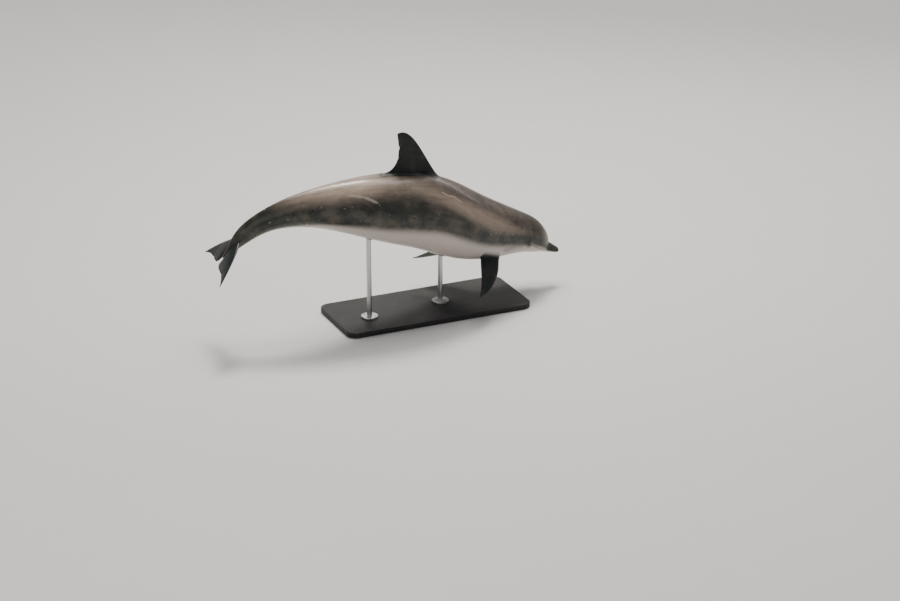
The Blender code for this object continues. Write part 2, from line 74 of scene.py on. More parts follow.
# Form of the body: (station, value), with each value a share of the length
BACK_LINE = (
    (0.0385, 0.0300), (0.08, 0.0435), (0.13, 0.0545), (0.20, 0.0690), (0.28, 0.0815), (0.36, 0.0885),
    (0.43, 0.0905), (0.50, 0.0890), (0.57, 0.0825), (0.65, 0.0690), (0.73, 0.0530), (0.80, 0.0405),
    (0.87, 0.0298), (0.922, 0.0220), (0.96, 0.0105), (1.0, 0.0012),
)
BELLY_LINE = (
    (0.0385, -0.0315), (0.08, -0.0362), (0.13, -0.0460), (0.20, -0.0660), (0.28, -0.0845), (0.36, -0.0940),
    (0.43, -0.0945), (0.50, -0.0905), (0.57, -0.0800), (0.65, -0.0630), (0.72, -0.0470), (0.80, -0.0325),
    (0.87, -0.0225), (0.922, -0.0170), (0.96, -0.0085), (1.0, -0.0008),
)
HALF_WIDTH = (
    (0.0385, 0.0450), (0.08, 0.0490), (0.13, 0.0550), (0.17, 0.0635), (0.22, 0.0755), (0.28, 0.0855),
    (0.36, 0.0905), (0.43, 0.0900), (0.50, 0.0845), (0.57, 0.0740), (0.65, 0.0580), (0.72, 0.0425),
    (0.80, 0.0270), (0.87, 0.0165), (0.922, 0.0125), (0.96, 0.0090), (1.0, 0.0030),
)
SIDE_LINE = (
    (0.0, -0.0190), (0.04, -0.0215), (0.08, -0.0205), (0.115, -0.0150), (0.15, -0.0100), (0.22, -0.0060),
    (0.36, -0.0030), (0.60, 0.0), (0.80, 0.0030), (1.0, 0.0010),
)
BEAK_TOP = ((0.0, -0.0125), (0.02, -0.0095), (0.0385, -0.0050), (0.06, -0.0010), (0.13, 0.0))
BEAK_BOTTOM = ((0.0, -0.0255), (0.02, -0.0290), (0.0385, -0.0320), (0.08, -0.0362), (0.13, -0.0375))
BEAK_HALF_WIDTH = (
    (0.0, 0.0100), (0.02, 0.0132), (0.0385, 0.0165), (0.06, 0.0235), (0.09, 0.0320), (0.13, 0.0360),
)
KEEL_PINCH = ((0.0, 0.0), (0.55, 0.0), (0.70, 0.22), (0.82, 0.42), (0.92, 0.30), (1.0, 0.0))
BEAK_END = 0.0385
BEAK_TIP_RUN = 0.014
MELON_RUN = 0.095
THROAT_RUN = 0.13
JAW_END = 0.13
TAIL_ROUNDING = (0.977, 0.00905)
GAPE = 0.116

# Rings and columns of the straight skin: (station, station, rings, crowding towards the first)
COLUMNS = 144
PATCH_HALF = 8
RING_RUNS = (
    (0.0, 0.0385, 34, 1.5), (0.0385, 0.060, 18, 1.3), (0.060, 0.1185, 32, 1.0), (0.1185, 0.1425, 18, 1.0),
    (0.1425, 0.213, 28, 1.0), (0.213, 0.272, 24, 1.0), (0.272, 0.420, 34, 1.0), (0.420, 0.590, 44, 1.0),
    (0.590, 0.922, 66, 1.0), (0.922, 0.977, 26, 1.0), (0.977, 0.986, 14, 0.6),
)
LIP_CROWDING = 1.35
FILLET_ROWS = 10

# How the foot of a fin is smoothed into the body
SOFT_REACH = 4
SOFT_FADE = 0.72
SOFT_LEAST = 0.2
SMOOTHING_ROUNDS = 24

# Pose of the spine: (station, degrees); pitch lifts the nose and yaw turns it left
PITCH = (
    (0.0, -25), (0.12, -18), (0.24, -20), (0.36, -28), (0.48, -15), (0.60, -9), (0.72, -1), (0.84, 18),
    (0.94, 46),
)
YAW = ((0.0, 0), (0.20, 7), (0.42, 9), (0.65, -1), (0.93, -11))
SPINE_STATIONS = (-0.02, 1.1, 1200)
ANCHOR_STATION = 0.44
ANCHOR = (-0.03, -0.02, 0.70)

# Fins: outlines in metres from the foot, as Bezier points (towards the tail, out from the body)
DORSAL_FRONT = ((-0.010, -0.010), (0.105, 0.085), (0.230, 0.330), (0.340, 0.265))
DORSAL_REAR = ((0.425, 0.0), (0.265, 0.020), (0.310, 0.170), (0.340, 0.265))
FLIPPER_FRONT = ((-0.072, 0.0), (-0.050, 0.130), (0.030, 0.270), (0.180, 0.345))
FLIPPER_REAR = ((0.078, 0.0), (0.106, 0.090), (0.112, 0.210), (0.180, 0.345))
FLUKE_FRONT = ((-0.100, 0.020), (-0.035, 0.130), (0.050, 0.235), (0.172, 0.318))
FLUKE_REAR = ((0.104, 0.006), (0.150, 0.070), (0.092, 0.190), (0.172, 0.318))
FLIPPER_DROOP = math.radians(42)
FIN_EDGE = 0.0012

# Places on the head and the belly
EYE_STATION = 0.130
EYE_UP = -0.0085 * LENGTH
EYE_RADIUS = 0.0145
EYE_STAND_OUT = 0.0030
EYE_PATCH = (0.1185, 0.1425)
EYE_PATCH_HALF_HEIGHT = 0.026

# Rows of the eyelids: shares of the way out to the rim, millimetres from the edge, and at the edge
# itself (out, thickness)
LID_APPROACH = (0.85, 0.68, 0.5, 0.33, 0.16)
LID_ROWS = (13.5, 12.0, 10.6, 9.6, 8.8, 8.0, 7.2, 6.4, 5.6, 4.9, 4.2, 3.5, 2.8, 2.1, 1.4, 0.7)
LID_EDGE = ((0.0, 0.0013), (-0.0005, 0.0010), (-0.0008, 0.0004), (-0.0009, -0.0010))

BLOWHOLE = (-0.356, 0.006)
EAR = (-0.402, -0.034)
NAVEL = -0.470 * LENGTH
SLIT = (-0.640 * LENGTH, -0.694 * LENGTH)
VENT = -0.712 * LENGTH

FLESH = (
    "upper_beak", "lower_jaw", "melon", "head", "neck", "chest", "midriff", "back", "loin",
    "tail_stock_front", "tail_stock_rear", "tail_end", "dorsal_fin", "flipper_left", "flipper_right",
    "fluke_left", "fluke_right",
)


# --- Curves ---


def spline(points):
    """A natural cubic spline through (x, y) points, held level outside them."""
    x, y = np.array(points, float).T
    step = np.diff(x)
    matrix = np.eye(len(x))
    known = np.zeros(len(x))
    for i in range(1, len(x) - 1):
        matrix[i, i - 1 : i + 2] = step[i - 1], 2 * (step[i - 1] + step[i]), step[i]
        known[i] = 6 * ((y[i + 1] - y[i]) / step[i] - (y[i] - y[i - 1]) / step[i - 1])
    bend = np.linalg.solve(matrix, known)

    def value(at):
        at = np.clip(at, x[0], x[-1])
        i = np.clip(np.searchsorted(x, at) - 1, 0, len(x) - 2)
        past, left = at - x[i], x[i + 1] - at
        curved = (bend[i] * left**3 + bend[i + 1] * past**3) / (6 * step[i])
        return curved + (y[i] / step[i] - bend[i] * step[i] / 6) * left + (
            y[i + 1] / step[i] - bend[i + 1] * step[i] / 6
        ) * past

    return value


def bezier(points, t):
    a, b, c, d = np.array(points, float)
    return (1 - t) ** 3 * a + 3 * (1 - t) ** 2 * t * b + 3 * (1 - t) * t**2 * c + t**3 * d


def smoothstep(t):
    t = np.clip(t, 0, 1)
    return t * t * (3 - 2 * t)


def rounded(t, power):
    """Rises steeply from 0 and levels off at 1, as the end of an egg does."""
    t = np.clip(t, 0, 1)
    return (1 - (1 - t) ** power) ** (1 / power)


def larger(a, b, blend):
    """The larger of two values, with a fillet this wide where they cross."""
    near = np.maximum(blend - np.abs(a - b), 0) / blend
    return np.maximum(a, b) + near * near * blend / 4


def hump(distance, width):
    """1 at no distance, falling away as a bell does."""
    return np.exp(-((distance / width) ** 2))


back_line = spline(BACK_LINE)
belly_line = spline(BELLY_LINE)
half_width = spline(HALF_WIDTH)
side_line = spline(SIDE_LINE)
beak_top = spline(BEAK_TOP)
beak_bottom = spline(BEAK_BOTTOM)
beak_half_width = spline(BEAK_HALF_WIDTH)


# --- Straight body ---


def oval(angle, wide, up, down, power):
    """Radius of an egg-shaped section at an angle above the side line."""
    rise = np.sin(angle)
    high = np.where(rise >= 0, up, down)
    return ((np.abs(np.cos(angle)) / wide) ** power + (np.abs(rise) / high) ** power) ** (-1 / power)


@lru_cache(maxsize=None)
def section(station, fine=160):
    """(left, up) points of the left half of a section, from the back to the belly."""
    angle = np.linspace(math.pi / 2, -math.pi / 2, 2 * fine + 1)
    middle = side_line(station)
    if station < JAW_END:
        tip = rounded(station / BEAK_TIP_RUN, 2.2)
        up, down = beak_top(station) - middle, middle - beak_bottom(station)
        radius = beak = oval(angle, beak_half_width(station) * tip, up * tip, down * tip, 2.3)
    if station > BEAK_END:
        past = station - BEAK_END
        up = (back_line(station) - middle) * rounded(past / MELON_RUN, 2.5)
        down = (middle - belly_line(station)) * rounded(past / THROAT_RUN, 2.0)
        radius = body = oval(angle, half_width(station) * rounded(past / MELON_RUN, 2.0), up, down, 2.05)
    if BEAK_END < station < JAW_END:
        soft = 0.0012 + 0.010 * smoothstep(past / 0.06) + 0.006 * smoothstep(-2 * np.sin(angle))
        joined = smoothstep((station - 0.10) / 0.03)
        radius = larger(beak, body, soft) * (1 - joined) + body * joined
    left, up = radius * np.cos(angle), radius * np.sin(angle)
    edge = np.where(up > 0, up / up.max(), up / up.min())
    left = left * (1 - np.interp(station, *np.array(KEEL_PINCH).T) * edge**2)
    left[[0, -1]] = 0
    return np.stack([left, up + middle], axis=1) * LENGTH


def spaced(points, shares):
    """Points at these shares of the way along a line of points."""
    run = np.concatenate([[0], np.cumsum(np.linalg.norm(np.diff(points, axis=0), axis=1))])
    return np.stack([np.interp(shares * run[-1], run, points[:, i]) for i in (0, 1)], axis=1)


def ring(station):
    """A whole section: column 0 on the back, then down the left side and up the right."""
    half = section(max(station, 1e-4))
    middle = len(half) // 2
    crowding = 1 + (LIP_CROWDING - 1) * (1 - smoothstep((station - 0.10) / 0.09))
    t = np.linspace(0, 1, COLUMNS // 4 + 1)
    upper = spaced(half[: middle + 1], 1 - (1 - t) ** crowding)
    lower = spaced(half[middle:], t**crowding)
    left = np.concatenate([upper, lower[1:]])
    round_body = np.concatenate([left, left[1:-1][::-1] * (-1, 1)])
    past = np.clip((station - TAIL_ROUNDING[0]) / TAIL_ROUNDING[1], 0, 1)
    middle = round_body.mean(axis=0)
    round_body = middle + (round_body - middle) * math.sqrt(1 - past**2.4)
    return np.column_stack([np.full(COLUMNS, -station * LENGTH), round_body])


def ring_stations():
    """Stations of the rings, and the number of the ring that starts each run."""
    stations = [0.0]
    starts = {0.0: 0}
    for start, end, count, crowding in RING_RUNS:
        t = np.arange(1, count + 1) / count
        stations += list(start + (end - start) * t**crowding)
        starts[end] = len(stations) - 1
    return stations, starts


def onto_body(place):
    """Moves a point straight out from the middle of its section to the body."""
    station = -place[0] / LENGTH
    half = section(station)
    middle = side_line(station) * LENGTH
    angle = math.atan2(place[2] - middle, abs(place[1]))
    angles = np.arctan2(half[:, 1] - middle, half[:, 0])
    left, up = (np.interp(-angle, -angles, half[:, i]) for i in (0, 1))
    return place[0], math.copysign(left, place[1]), up


def side_of_body(x, z):
    """How far left the body reaches at points of its side view."""
    found = []
    for at, up in zip(x, z):
        half = section(-at / LENGTH)
        found.append(np.interp(-up, -half[:, 1], half[:, 0]))
    return np.array(found)


# --- Fins ---


@dataclass(frozen=True)
class Fin:
    """A fin, and the patch of the body that its foot grows from."""

    name: str
    patch: tuple  # stations of the front and the back of the patch
    column: int  # column down the middle of the patch
    side: int  # 1 on the left and on the back, -1 on the right
    front_edge: tuple
    rear_edge: tuple
    thickness: tuple  # half thickness over chord, at the foot and at the tip
    start: float  # where the fillet at the foot ends, as a share of the edges
    rows: int
    hinge: float  # station of the spine that the fin moves with
    nicks: tuple = ()  # (share of the rear edge, depth, width as a share)


def fins():
    quarter = COLUMNS // 4
    flipper = dict(
        patch=(0.213, 0.272), column=quarter + 4 * quarter // 9, front_edge=FLIPPER_FRONT,
        rear_edge=FLIPPER_REAR, thickness=(0.13, 0.06), start=0.16, rows=40, hinge=0.243,
    )
    fluke = dict(
        patch=(0.922, 0.977), column=quarter, front_edge=FLUKE_FRONT, rear_edge=FLUKE_REAR,
        thickness=(0.085, 0.05), start=0.14, rows=44, hinge=0.96,
    )
    return (
        Fin(
            "dorsal_fin", (0.420, 0.590), 0, 1, DORSAL_FRONT, DORSAL_REAR, thickness=(0.075, 0.05),
            start=0.10, rows=60, hinge=0.50, nicks=((0.50, 0.0045, 0.028), (0.71, 0.0065, 0.034)),
        ),
        Fin("flipper_left", side=1, nicks=((0.62, 0.0025, 0.040),), **flipper),
        Fin("flipper_right", side=-1, **flipper),
        Fin("fluke_left", side=1, nicks=((0.48, 0.0055, 0.040),), **fluke),
        Fin("fluke_right", side=-1, nicks=((0.63, 0.0050, 0.042),), **fluke),
    )


def fin_axes(fin, rings, starts):
    """Foot of a fin, and its directions: to the tail, out from the body and across its thickness."""
    front, back = (rings[starts[station], fin.side * fin.column] for station in fin.patch)
    if fin.name == "dorsal_fin":
        tailward = (back - front) / np.linalg.norm(back - front)
        return front, tailward, np.array([tailward[2], 0, -tailward[0]]), np.array([0, 1.0, 0])
    tailward = np.array([-1.0, 0, 0])
    if fin.name.startswith("fluke"):
        foot = np.array([-fin.hinge * LENGTH, 0, (front[2] + back[2]) / 2])
        return foot, tailward, np.array([0, fin.side, 0.0]), np.array([0, 0, -1.0])
    low, wide = math.sin(FLIPPER_DROOP), fin.side * math.cos(FLIPPER_DROOP)
    outward, across = np.array([0, wide, -low]), np.array([0, -fin.side * low, -abs(wide)])
    return (front + back) / 2, tailward, outward, across


def foil(x):
    """Half thickness of a streamlined section along its chord, 1 at its thickest."""
    return 10 * (0.2969 * np.sqrt(x) - 0.1260 * x - 0.3516 * x**2 + 0.2843 * x**3 - 0.1036 * x**4)


def fin_loop(fin, axes, t, count):
    """Points round a fin, a share t of the way out, from its front edge and back to it."""
    foot, tailward, outward, across = axes
    front, rear = (
        foot + along * tailward + out * outward
        for along, out in (bezier(fin.front_edge, t), bezier(fin.rear_edge, t))
    )
    rear = rear - tailward * sum(depth * hump(t - share, width) for share, depth, width in fin.nicks)
    chord = np.linalg.norm(rear - front)
    angle = 2 * math.pi * np.arange(count) / count
    along = (1 - np.cos(angle)) / 2
    ratio = fin.thickness[0] + (fin.thickness[1] - fin.thickness[0]) * t
    half = np.maximum(foil(along) * ratio * chord, min(FIN_EDGE, chord / 5))
    side = np.clip(12 * np.sin(angle), -1, 1)
    return front + np.outer(along, rear - front) + np.outer(half * side, across)


# --- Surface ---


class Surface:
    """The skin in the making, in body coordinates."""

    def __init__(self):
        self.places = []
        self.hinges = []  # station of the spine that each point follows
        self.fin_shares = []  # 0 on the body and 1 on a fin
        self.softness = []  # how far a point gives way to its neighbours
        self.faces = []
        self.charts = []  # 0 on the body, and a number of its own for each side of each fin

    def point(self, place, hinge=None, fin_share=0.0, soft=0.0):
        self.places.append(place)
        self.hinges.append(-place[0] / LENGTH if hinge is None else hinge)
        self.fin_shares.append(fin_share)
        self.softness.append(soft)
        return len(self.places) - 1

    def face(self, corners, flip=False, chart=0):
        self.faces.append(corners[::-1] if flip else corners)
        self.charts.append(chart)

    def strip(self, near, far, flip=False, charts=(0, 0)):
        """Faces between two loops of points, with a chart for each half of the way round."""
        for i in range(len(near)):
            j = (i + 1) % len(near)
            self.face((near[i], near[j], far[j], far[i]), flip, charts[2 * i >= len(near)])

    def fan(self, loop, end, flip=False, charts=(0, 0)):
        """Faces from a loop of points to one point."""
        for i in range(len(loop)):
            corners = (loop[i], loop[(i + 1) % len(loop)], end)
            self.face(corners, flip, charts[2 * i >= len(loop)])

    def close(self, loops, ends=()):
        """Adds a piece through loops of points: with a fan to a point at each end, or else a ring."""
        loops = [[self.point(place) for place in loop] for loop in loops]
        for near, far in zip(loops, loops[1:]):
            self.strip(near, far)
        if ends:
            start, end = (self.point(place) for place in ends)
            self.fan(loops[0], start, True)
            self.fan(loops[-1], end)
        else:
            self.strip(loops[-1], loops[0])


def patch_path(first, last, column, half, side=1):
    """(ring, column) round a patch, from the middle of its front and down its side first."""
    path = [(first, column + i) for i in range(half)]
    path += [(i, column + half) for i in range(first, last)]
    path += [(last, column + half - i) for i in range(2 * half)]
    path += [(i, column - half) for i in range(last, first, -1)]
    path += [(first, column - half + i) for i in range(half)]
    return [(i, (side * j) % COLUMNS) for i, j in path]


def patch_cells(first, last, column, half, side):
    """(ring, column) of each cell in a patch."""
    columns = range(column - half, column + half)
    return {(i, (j if side > 0 else -j - 1) % COLUMNS) for i in range(first, last) for j in columns}


def normal_at(rings, i, j):
    """Direction out of the straight body at a point of a ring."""
    along = rings[i + 1, j] - rings[i - 1, j]
    round_body = rings[i, (j + 1) % COLUMNS] - rings[i, j - 1]
    normal = np.cross(round_body, along)
    return normal / np.linalg.norm(normal)


def add_fin(surface, fin, number, rings, starts, grid):
    """A fin, with the fillet that leads out to it, in place of the cells that it returns."""
    axes = fin_axes(fin, rings, starts)
    patch = *(starts[station] for station in fin.patch), fin.column, PATCH_HALF, fin.side
    path = patch_path(*patch)
    charts = (2 * number + 1, 2 * number + 2)
    flip = fin.side < 0
    near = [grid[i][j] for i, j in path]
    rim = np.array([rings[i, j] for i, j in path])
    normals = np.array([normal_at(rings, i, j) for i, j in path])
    start = fin_loop(fin, axes, fin.start, len(path))
    arriving = fin_loop(fin, axes, fin.start + 0.01, len(path)) - start
    leaving = start - rim
    reach = np.linalg.norm(leaving, axis=1)[:, None]
    leaving = leaving - (leaving * normals).sum(axis=1)[:, None] * normals
    leaving *= reach / np.maximum(np.linalg.norm(leaving, axis=1)[:, None], 1e-6)
    arriving *= reach / np.linalg.norm(arriving, axis=1)[:, None]
    for vertex in near:
        surface.softness[vertex] = 1.0
    for t in np.arange(1, FILLET_ROWS + 1) / FILLET_ROWS:
        held = smoothstep(t)
        swell = t * (1 - t) * ((1 - t) * leaving - t * arriving)
        far = []
        for place in (1 - held) * rim + held * start + swell:
            station = -place[0] / LENGTH
            far.append(surface.point(place, station + (fin.hinge - station) * held, held, 1 - held / 2))
        surface.strip(near, far, flip, charts)
        near = far
    for t in np.linspace(0, 1, fin.rows + 1)[1:-1]:
        share = fin.start + (1 - fin.start) * (1 - (1 - t) ** 1.3)
        far = [surface.point(place, fin.hinge, 1.0) for place in fin_loop(fin, axes, share, len(path))]
        surface.strip(near, far, flip, charts)
        near = far
    end = surface.point(fin_loop(fin, axes, 1.0, len(path)).mean(axis=0), fin.hinge, 1.0)
    surface.fan(near, end, flip, charts)
    return patch_cells(*patch)


def eye_centre():
    """Middle of the left eyeball, in body coordinates."""
    left = side_of_body([-EYE_STATION * LENGTH], [EYE_UP])[0]
    return np.array([-EYE_STATION * LENGTH, left - EYE_RADIUS + EYE_STAND_OUT, EYE_UP])


def eyelid_loops(rim, looks):
    """Loops of points on the left side, from inside the rim of the patch to behind the eyeball."""
    centre = eye_centre()
    size = np.abs(rim[:, [0, 2]] - centre[[0, 2]]).max(axis=0)
    angle = np.arctan2(-(rim[:, 2] - centre[2]) / size[1], (rim[:, 0] - centre[0]) / size[0])
    rise = np.abs(np.sin(angle))
    tilt = looks.lid_tilt

    def opening(spread):
        """Side view of a loop this far out from the edge of the lids."""
        pointed = rise ** (0.35 * np.exp(-max(spread, 0) / 0.006))
        along = (looks.eye_length / 2 + spread) * np.cos(angle)
        up = -(looks.eye_height / 2 + spread) * np.sin(angle) * pointed
        x = along * math.cos(tilt) - up * math.sin(tilt)
        return centre[0] + x, centre[2] + along * math.sin(tilt) + up * math.cos(tilt)

    def shell(x, z, thickness):
        apart = (x - centre[0]) ** 2 + (z - centre[2]) ** 2
        return centre[1] + np.sqrt(np.maximum((EYE_RADIUS + thickness) ** 2 - apart, 0))

    loops = []
    for share in LID_APPROACH:
        x, z = opening(LID_ROWS[0] / 1000)
        x, z = x + (rim[:, 0] - x) * share, z + (rim[:, 2] - z) * share
        loops.append((x, side_of_body(x, z), z))
    for spread in LID_ROWS:
        x, z = opening(spread / 1000)
        lid = larger(side_of_body(x, z), shell(x, z, looks.lid_thickness), 0.008)
        upper = smoothstep(0.5 - 2.2 * np.sin(angle))
        folds = -0.0009 * hump(spread - 4.6 - 0.8 * upper, 0.9) * rise * (0.35 + 0.65 * upper)
        folds -= 0.0005 * hump(spread - 8.4, 1.1) * rise**2 * (0.2 + 0.8 * upper)
        folds += 0.0004 * hump(spread - 2.3, 1.2) + 0.0003 * hump(spread - 6.6, 1.3) * rise
        edge = smoothstep(spread / 2.8)
        loops.append((x, shell(x, z, 0.0013) * (1 - edge) + (lid + folds) * edge, z))
    for spread, thickness in LID_EDGE:
        x, z = opening(spread)
        loops.append((x, shell(x, z, thickness), z))
    return [np.stack(loop, axis=1) for loop in loops]


def add_eyelids(surface, rings, starts, grid, looks):
    """The lids and the skin round both eyes, in place of the cells that it returns."""
    first, last = (starts[station] for station in EYE_PATCH)
    heights = rings[(first + last) // 2, : COLUMNS // 2, 2]
    columns = np.flatnonzero(np.abs(heights - EYE_UP) < EYE_PATCH_HALF_HEIGHT)
    half = (len(columns) - 1) // 2
    column = int(columns[0]) + half
    rim = [rings[i, j] for i, j in patch_path(first, last, column, half)]
    loops = eyelid_loops(np.array(rim), looks)
    cells = set()
    for side in (1, -1):
        near = [grid[i][j] for i, j in patch_path(first, last, column, half, side)]
        for loop in loops:
            far = [surface.point(place * (1, side, 1)) for place in loop]
            surface.strip(near, far, side < 0)
            near = far
        end = surface.point((eye_centre() + (0, EYE_RADIUS / 2, 0)) * (1, side, 1))
        surface.fan(near, end, side < 0)
        cells |= patch_cells(first, last, column, half, side)
    return cells


def straight_surface(looks):
    """The whole skin of the straight animal, before its details."""
    stations, starts = ring_stations()
    rings = np.array([ring(station) for station in stations])
    surface = Surface()
    tip = surface.point(rings[0].mean(axis=0))
    grid = [[tip] * COLUMNS]
    grid += [[surface.point(place) for place in row] for row in rings[1:]]
    open_cells = add_eyelids(surface, rings, starts, grid, looks)
    for number, fin in enumerate(fins()):
        open_cells |= add_fin(surface, fin, number, rings, starts, grid)
    for j in range(COLUMNS):
        surface.face((tip, grid[1][j], grid[1][(j + 1) % COLUMNS]))
    for i in range(1, len(rings) - 1):
        for j in range(COLUMNS):
            k = (j + 1) % COLUMNS
            if (i, j) not in open_cells:
                surface.face((grid[i][j], grid[i + 1][j], grid[i + 1][k], grid[i][k]))
    surface.fan(grid[-1], surface.point(rings[-1].mean(axis=0)), False)
    return surface


def softened(surface):
    """Places of the points once those at the foot of each fin give way to their neighbours."""
    places = np.array(surface.places)
    soft = np.array(surface.softness)
    edges = {tuple(sorted((a, b))) for f in surface.faces for a, b in zip(f, f[1:] + f[:1])}
    a, b = np.array(sorted(edges)).T
    count = np.maximum(np.bincount(np.concatenate([a, b]), minlength=len(places)), 1)
    for _ in range(SOFT_REACH):
        spread = np.zeros(len(places))
        np.maximum.at(spread, a, soft[b])
        np.maximum.at(spread, b, soft[a])
        soft = np.maximum(soft, SOFT_FADE * spread)
    soft[soft < SOFT_LEAST] = 0
    for _ in range(SMOOTHING_ROUNDS):
        total = np.zeros_like(places)
        np.add.at(total, a, places[b])
        np.add.at(total, b, places[a])
        places += 0.5 * soft[:, None] * (total / count[:, None] - places)
    return places


# --- Details pressed into the skin ---


FINE_ZONES = (
    # middle, half size, cuts across each edge
    ((BLOWHOLE[0], BLOWHOLE[1], 0.14), (0.050, 0.048, 0.09), 4),
    ((EAR[0], 0.16, EAR[1]), (0.014, 0.09, 0.014), 4),
    ((EAR[0], -0.16, EAR[1]), (0.014, 0.09, 0.014), 4),
    ((NAVEL, 0, -0.24), (0.040, 0.030, 0.08), 4),
    (((SLIT[0] + VENT) / 2, 0, -0.15), (0.125, 0.050, 0.09), 3),
)
# Creases of the throat: station, lean, depth
NECK_FOLDS = ((0.158, 0.10, 0.8), (0.176, 0.14, 1.0), (0.196, 0.18, 0.8))


def refine(mesh):
    """Adds points where small details come, on the true curve of the body."""
    for middle, size, cuts in FINE_ZONES:
        near = [
            face for face in mesh.faces
            if all(abs(c - m) < s for c, m, s in zip(face.calc_center_median(), middle, size))
        ]
        edges = list({edge for face in near for edge in face.edges})
        made = bmesh.ops.subdivide_edges(mesh, edges=edges, cuts=cuts, use_grid_fill=True)
        for vertex in made["geom_inner"]:
            if isinstance(vertex, bmesh.types.BMVert):
                vertex.co = onto_body(vertex.co)


def mouth_line(x, z):
    """Distance of points above the line of the mouth, in the side view."""
    station = -x / LENGTH
    corner = 0.0030 * smoothstep((station - GAPE + 0.012) / 0.012)
    return z - side_line(station) * LENGTH - corner


def mouth(x, y, z, looks):
    """The closed mouth and its lips: (height, how much painted shade its crease gets)."""
    off = mouth_line(x, z)
    station = -x / LENGTH
    reach = smoothstep((GAPE + 0.001 - station) / 0.004)
    groove = hump(off, looks.mouth_width / 2) * reach
    lips = (0.0011 * hump(off + 0.0050, 0.0034) + 0.0007 * hump(off - 0.0046, 0.0030)) * reach
    corner = hump(np.hypot(x + GAPE * LENGTH + 0.004, off), 0.0055)
    depth = looks.mouth_depth * (0.25 + 0.75 * smoothstep(station / 0.008))
    return lips * smoothstep(station / 0.006) - depth * groove - 0.0016 * corner, groove


def blowhole(x, y, z, looks):
    """A crescent with its horns forward, a plug in front of it and a soft rim behind."""
    top = smoothstep((z - 0.09) / 0.03)
    radius = looks.blowhole_width / 2
    ahead, aside = x - BLOWHOLE[0] - radius * 0.55, y - BLOWHOLE[1]
    past = np.hypot(ahead, aside * 0.94) - radius
    reach = 1 - smoothstep((np.abs(np.arctan2(aside, -ahead)) - 1.25) / 0.45)
    groove = hump(past, 0.0022) * reach * top
    rim = hump(past - 0.0062, 0.0040) * reach * top
    plug = (1 - smoothstep((past + 0.010) / 0.010)) * smoothstep((0.012 - ahead) / 0.02) * top
    dish = hump(np.hypot(x - BLOWHOLE[0], aside), 0.034) * top
    return 0.0014 * rim + 0.0016 * plug - 0.0058 * groove - 0.0016 * dish, groove


def ears(x, y, z, looks):
    """A pinhole behind each eye."""
    away = np.hypot(x - EAR[0], z - EAR[1])
    hole = hump(away, 0.0016)
    return -0.0026 * hole - 0.0007 * hump(away, 0.0060), hole


def brows(x, y, z, looks):
    """The swelling round each eye, and the hollow in front of it."""
    eye = eye_centre()
    ball = hump(np.hypot((x - eye[0]) * 0.8, z - eye[2] + 0.002), 0.026)
    hollow = hump(np.hypot(x - eye[0] - 0.050, (z - eye[2]) * 1.3), 0.026)
    return 0.0022 * ball - 0.0016 * hollow, 0 * x


def navel(x, y, z, looks):
    low = smoothstep((-z - 0.12) / 0.05)
    out = np.hypot((x - NAVEL) / 2.2, y)
    height = -0.0028 * hump(out, 0.0035) + 0.0009 * hump(out - 0.0075, 0.004)
    return height * low, hump(out, 0.0030) * low


def slits(x, y, z, looks):
    """The long slit and the vent behind it, on the midline, with a short slit at each side."""
    low = smoothstep((-z - 0.03) / 0.03)
    within = smoothstep((SLIT[0] - x) / 0.012) * smoothstep((x - SLIT[1]) / 0.012)
    long_slit = hump(y, 0.0026) * within
    swell = hump(np.abs(y) - 0.0095, 0.0060) * within
    vent = hump(np.hypot((x - VENT) / 1.8, y), 0.0036)
    ahead = x - (SLIT[0] * 0.45 + SLIT[1] * 0.55)
    short = hump(np.abs(y) - 0.026 + 0.10 * ahead, 0.0022)
    short = short * (1 - smoothstep((np.abs(ahead) - 0.012) / 0.008))
    depth = -0.0042 * long_slit - 0.0030 * vent - 0.0024 * short
    return (depth + 0.0016 * swell) * low, np.maximum(np.maximum(long_slit, vent), 0.8 * short) * low


def neck_folds(x, y, z, looks):
    """Faint creases on the throat and behind the head."""
    under = smoothstep((side_line(-x / LENGTH) * LENGTH - z + 0.03) / 0.10)
    height = 0 * x
    for at, lean, depth in NECK_FOLDS:
        off = x + at * LENGTH - lean * z
        height += depth * (0.0004 * hump(off - 0.016, 0.014) - 0.0009 * hump(off, 0.009))
    return height * under, 0 * x


DETAILS = (mouth, blowhole, ears, brows, navel, slits, neck_folds)


def press_details(places, normals, on_body, looks):
    """Moves points in or out for every detail. Returns the places and how much painted shade each gets in
    its crease.
    """
    heights, covers = zip(*(detail(*places.T, looks) for detail in DETAILS))
    moved = places + normals * (sum(heights) * on_body)[:, None]
    tip = smoothstep((0.022 + places[:, 0] / LENGTH) / 0.022)
    below = smoothstep((0.0002 - mouth_line(places[:, 0], places[:, 2])) / 0.0045)
    moved[:, 0] += looks.underbite * tip * below * on_body
    return moved, np.max(covers, axis=0) * on_body


# --- Pose ---


def spine():
    """Tables along the spine: stations, places, and the directions forward, left and up."""
    stations = np.linspace(*SPINE_STATIONS)
    pitch, yaw = np.radians(spline(PITCH)(stations)), np.radians(spline(YAW)(stations))
    rise, run, aside, ahead = np.sin(pitch), np.cos(pitch), np.sin(yaw), np.cos(yaw)
    forward = np.stack([run * ahead, run * aside, rise], axis=1)
    upward = np.stack([-rise * ahead, -rise * aside, run], axis=1)
    steps = -np.diff(stations)[:, None] * LENGTH * (forward[:-1] + forward[1:]) / 2
    places = np.concatenate([np.zeros((1, 3)), np.cumsum(steps, axis=0)])
    places += np.array(ANCHOR) - [np.interp(ANCHOR_STATION, stations, places[:, i]) for i in range(3)]
    return stations, places, forward, np.cross(upward, forward), upward


SPINE = spine()


